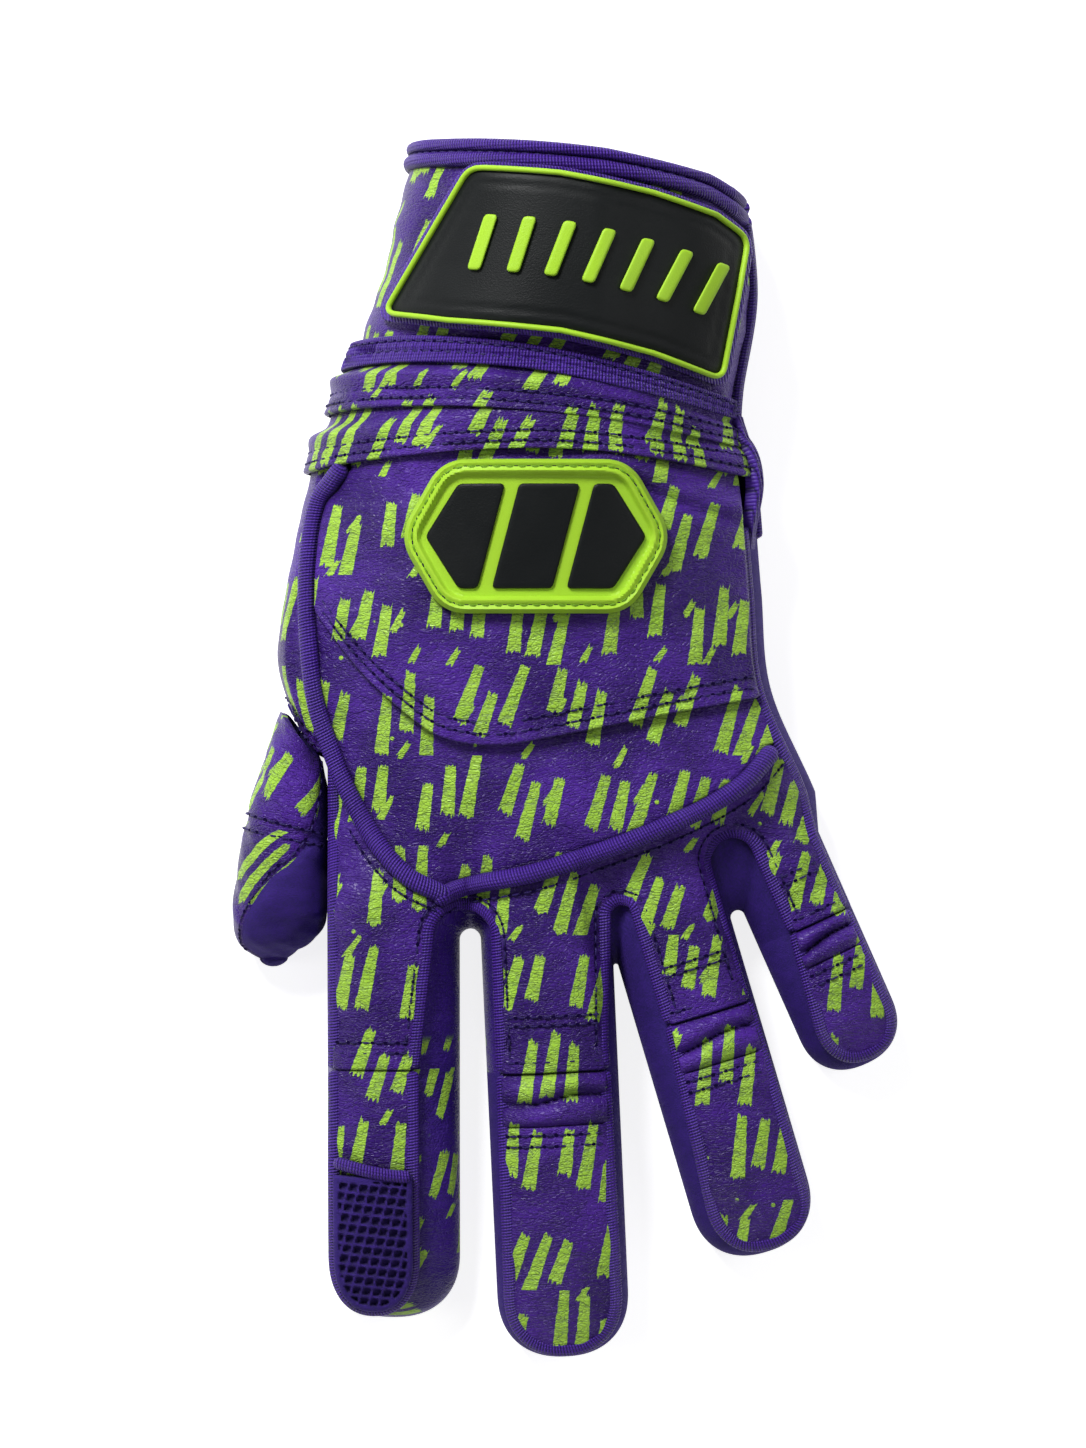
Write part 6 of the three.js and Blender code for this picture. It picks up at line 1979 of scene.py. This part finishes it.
@dataclass
class Thumb:
    """Thumb beside the hand: printed back and plain suede front, crossed by a seam at the joint."""

    shop: Workshop
    height: float = 21.0
    length: float = 60.0
    power: float = 2.5
    joint: float = 0.345
    foot_share: float = 0.7
    bend_share: float = 0.12
    cap: float = 1.6
    cap_share: float = 0.03
    rows_at: float = 0.022

    def point(self, place: Array, turn: Array) -> Array:
        """Point of the thumb's skin: a superellipse across it, standing on the surface below.

        Past place 1 the section shrinks along a quarter circle, which closes the thumb's end.
        """
        past = np.clip((place - 1) / self.cap_share, 0, 0.99)
        kept = np.sqrt(1 - past ** 2)
        place = np.minimum(place, 1)
        left, right = spline(plan(THUMB_LEFT), place), spline(plan(THUMB_RIGHT), place)
        tall = self.height * along(THUMB_HEIGHT_SHARES, place)
        angle = 2 * math.pi * turn
        over, up = [bulged(value, 2 / self.power) for value in (np.cos(angle), np.sin(angle))]
        flat = left + (right - left) * ((1 + kept * over) / 2)[..., None]
        flat = flat - past[..., None] * np.array([0, self.cap])
        return np.concatenate([flat, (tall * (1 + kept * up) / 2)[..., None]], -1)

    def panel(self, start: float, stop: float, front: bool) -> Skin:
        """Panel between two places along the thumb, on its back or its front."""
        around = 44
        v = np.linspace(start, stop, max(12, round((stop - start) * 70)))
        if stop == 1:
            v = np.append(v, 1 + self.cap_share * np.sin(np.linspace(0, math.pi / 2, 8)[1:]))
        v, u = v[None, :], np.linspace(0, 1, around)[:, None]
        seam, foot = along(THUMB_SEAM_SHARES, v), np.full_like(v, self.foot_share)
        low, high = (foot, 1 + seam) if front else (seam, foot)
        turn = low + (high - low) * u
        place = np.broadcast_to(v, turn.shape)
        points = self.point(place, turn)
        edge = np.minimum(u, 1 - u) * around
        relief = creases(points[..., 0], points[..., 1] + points[..., 2], 0.3) * smoothstep(edge, 0, 3)
        relief = relief - bell(edge, 0.25, 1.2) - bell((place - self.joint) * self.length, 0.35, 1.6)
        run, girth = run_of(self.point(v, np.full_like(v, 0.25)), 1), run_of(points)
        ridge = int(np.argmin(np.abs(turn[:, 0] - 0.25)))
        places = np.stack(np.broadcast_arrays(girth[ridge] - girth, -run - self.length * start), -1)
        return sheet(points, places, LEATHER, relief, "")

    def build(self) -> None:
        """Build the four panels and their seams."""
        ends = self.joint, self.joint + self.bend_share
        bend = Bend(Body.THUMB, *[self.point(np.array(end), np.array(0.25))[:2] for end in ends])
        for front, face, stock in ((False, "back", Stock.PRINTED), (True, "front", Stock.SUEDE)):
            self.shop.mount(self.panel(0, self.joint, front), f"thumb_{face}_root", stock, f"thumb_base_{face}")
            self.shop.mount(self.panel(self.joint, 1, front), f"thumb_{face}_end", stock, f"thumb_tip_{face}",
                            ride=bend)
        self.seams(bend)

    def seams(self, bend: Bend) -> None:
        """Sewn rows: two across the thumb, either side of the joint, and one along each edge of the front."""
        turn = np.linspace(0.1, self.foot_share, 200)
        for number, offset, ride in ((1, -self.rows_at, Body.HAND), (2, self.rows_at, bend)):
            row = self.row(np.full_like(turn, self.joint + offset), turn)
            self.shop.sew(f"thumb_cross_thread_{number}", [row], ride)
        for name, start, end, ride in (("root", 0.03, self.joint - 0.01, Body.HAND),
                                       ("end", self.joint + 0.01, 0.9, bend)):
            place = np.linspace(start, end, 150)
            row = self.row(place, along(THUMB_SEAM_SHARES, place) + 0.018)
            self.shop.sew(f"thumb_edge_thread_{name}", [row], ride)

    def row(self, place: Array, turn: Array) -> Row:
        """Row of points on the thumb, and the normals there."""
        step = 1e-3
        across_it = self.point(place, turn + step) - self.point(place, turn - step)
        along_it = self.point(np.clip(place + step, 0, 1), turn) - self.point(np.clip(place - step, 0, 1), turn)
        return self.point(place, turn), unit(np.cross(across_it, along_it))


@dataclass
class Studio:
    """Camera over the glove, soft lamps and a white floor that keeps a faint shadow."""

    centre: Pair = (-0.00456, 0.00581)
    focus_height: float = 0.015
    distance: float = 1.0
    frame_height: float = 0.2896
    sensor: float = 36.0
    lamp_sizes: tuple = (("key", (-0.4, 0.72, 0.75), 0.35, 11.5), ("fill", (0.75, 0.1, 0.8), 0.6, 1.6),
                         ("side", (-0.85, -0.15, 0.4), 0.4, 1.0), ("front", (0.1, -0.85, 0.6), 0.5, 0.8))
    lamp_target: tuple[float, float, float] = (0.0, 0.0, 0.02)
    floor_half: float = 3.0
    floor_level: float = -0.0005

    def build(self) -> None:
        """Set up the whole studio."""
        self.camera()
        self.lamps()
        self.floor()
        self.world()

    def camera(self) -> None:
        """Camera straight above, with the fingers pointing down in the picture."""
        data = bpy.data.cameras.new("camera")
        data.sensor_width = self.sensor
        data.lens = self.sensor * self.distance / self.frame_height
        data.clip_start, data.clip_end = 0.01, 20
        bpy.context.scene.camera = placed("camera", data, (*self.centre, self.focus_height + self.distance))

    def lamps(self) -> None:
        """One broad key lamp from the upper left, a fill opposite and two low, weak ones."""
        for name, place, size, power in self.lamp_sizes:
            data = bpy.data.lights.new(name, "AREA")
            data.shape, data.size, data.energy = "DISK", size, power
            x, y, z = np.array(self.lamp_target) - place
            placed(name, data, place).rotation_euler = (math.atan2(math.hypot(x, y), -z), 0,
                                                        math.atan2(y, x) - math.pi / 2)

    def floor(self) -> None:
        """White floor: lit, so that it keeps the shadow, lifted to white for the camera, clear from below."""
        mesh = bpy.data.meshes.new("floor")
        corners = [(x * self.floor_half, y * self.floor_half, self.floor_level)
                   for x, y in ((-1, -1), (1, -1), (1, 1), (-1, 1))]
        mesh.from_pydata(corners, [], [(0, 1, 2, 3)])
        material = bpy.data.materials.new("floor_white")
        graph = emptied(material)
        rays = graph.node("LightPath").outputs
        camera, glossy, through = (Value(graph, rays[f"Is {kind} Ray"])
                                   for kind in ("Camera", "Glossy", "Transmission"))
        seen = graph.math("ADD", camera + glossy, through, clamp=True)
        lit = graph.value("BsdfDiffuse", {"Color": (0.8, 0.8, 0.8, 1)})
        glow = graph.value("Emission", {"Color": "FFFFFF", "Strength": seen * 0.82})
        below = graph.value("NewGeometry", output="Backfacing")
        sides = (below, graph.value("AddShader", (lit, glow)), graph.value("BsdfTransparent"))
        graph.node("OutputMaterial", (graph.value("MixShader", sides),))
        mesh.materials.append(material)
        placed("floor", mesh)

    def world(self) -> None:
        """Even grey surround for the light, white to the camera."""
        world = bpy.data.worlds.new("surround")
        bpy.context.scene.world = world
        graph = emptied(world)
        lit, white = (graph.value("Background", {"Color": "FFFFFF", "Strength": power}) for power in (0.08, 1.0))
        camera = graph.value("LightPath", output="Is Camera Ray")
        graph.node("OutputWorld", (graph.value("MixShader", (camera, lit, white)),))


def make_shop() -> Workshop:
    """Make every finish once."""
    effects = Effects()
    by_stock = {
        Stock.PRINTED: Leather("printed_leather"),
        Stock.SUEDE: Suede("purple_suede"),
        Stock.TAPE: Knit("knit_tape"),
        Stock.LIME: Rubber("lime_rubber", ground="BEEA4C", deep="B0E236", rough=0.42),
        Stock.BLACK: Rubber("black_rubber"),
        Stock.PILE: Pile("hook_and_loop"),
    }
    others = (Suede("lining", places=Map.OBJECT, ground="241268", deep="180A4C"), Thread("sewing_thread"),
              Pit("needle_hole"), Leather("printed_gusset", ground="48239A", deep="35187F", print_below=-0.056),
              Thread("lime_thread", ground="86BA28", deep="5A8414"))
    return Workshop({stock: finish.material(effects) for stock, finish in by_stock.items()},
                    *[finish.material(effects) for finish in others])


def main() -> None:
    """Dress the frame, sub-assembly by sub-assembly."""
    logging.basicConfig(level=logging.INFO, format="%(message)s")
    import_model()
    bpy.context.scene.view_settings.view_transform = "Standard"
    shop = make_shop()
    parts = [kind(shop) for kind in (Cuff, HandBack, Knuckles, Palm, WristStrap, Badge, Thumb)]
    for part in parts + [Fingertip(shop, finger) for finger in FINGERS.values()]:
        LOG.info("building %s", type(part).__name__)
        part.build()
    Studio().build()


if __name__ == "__main__":
    main()
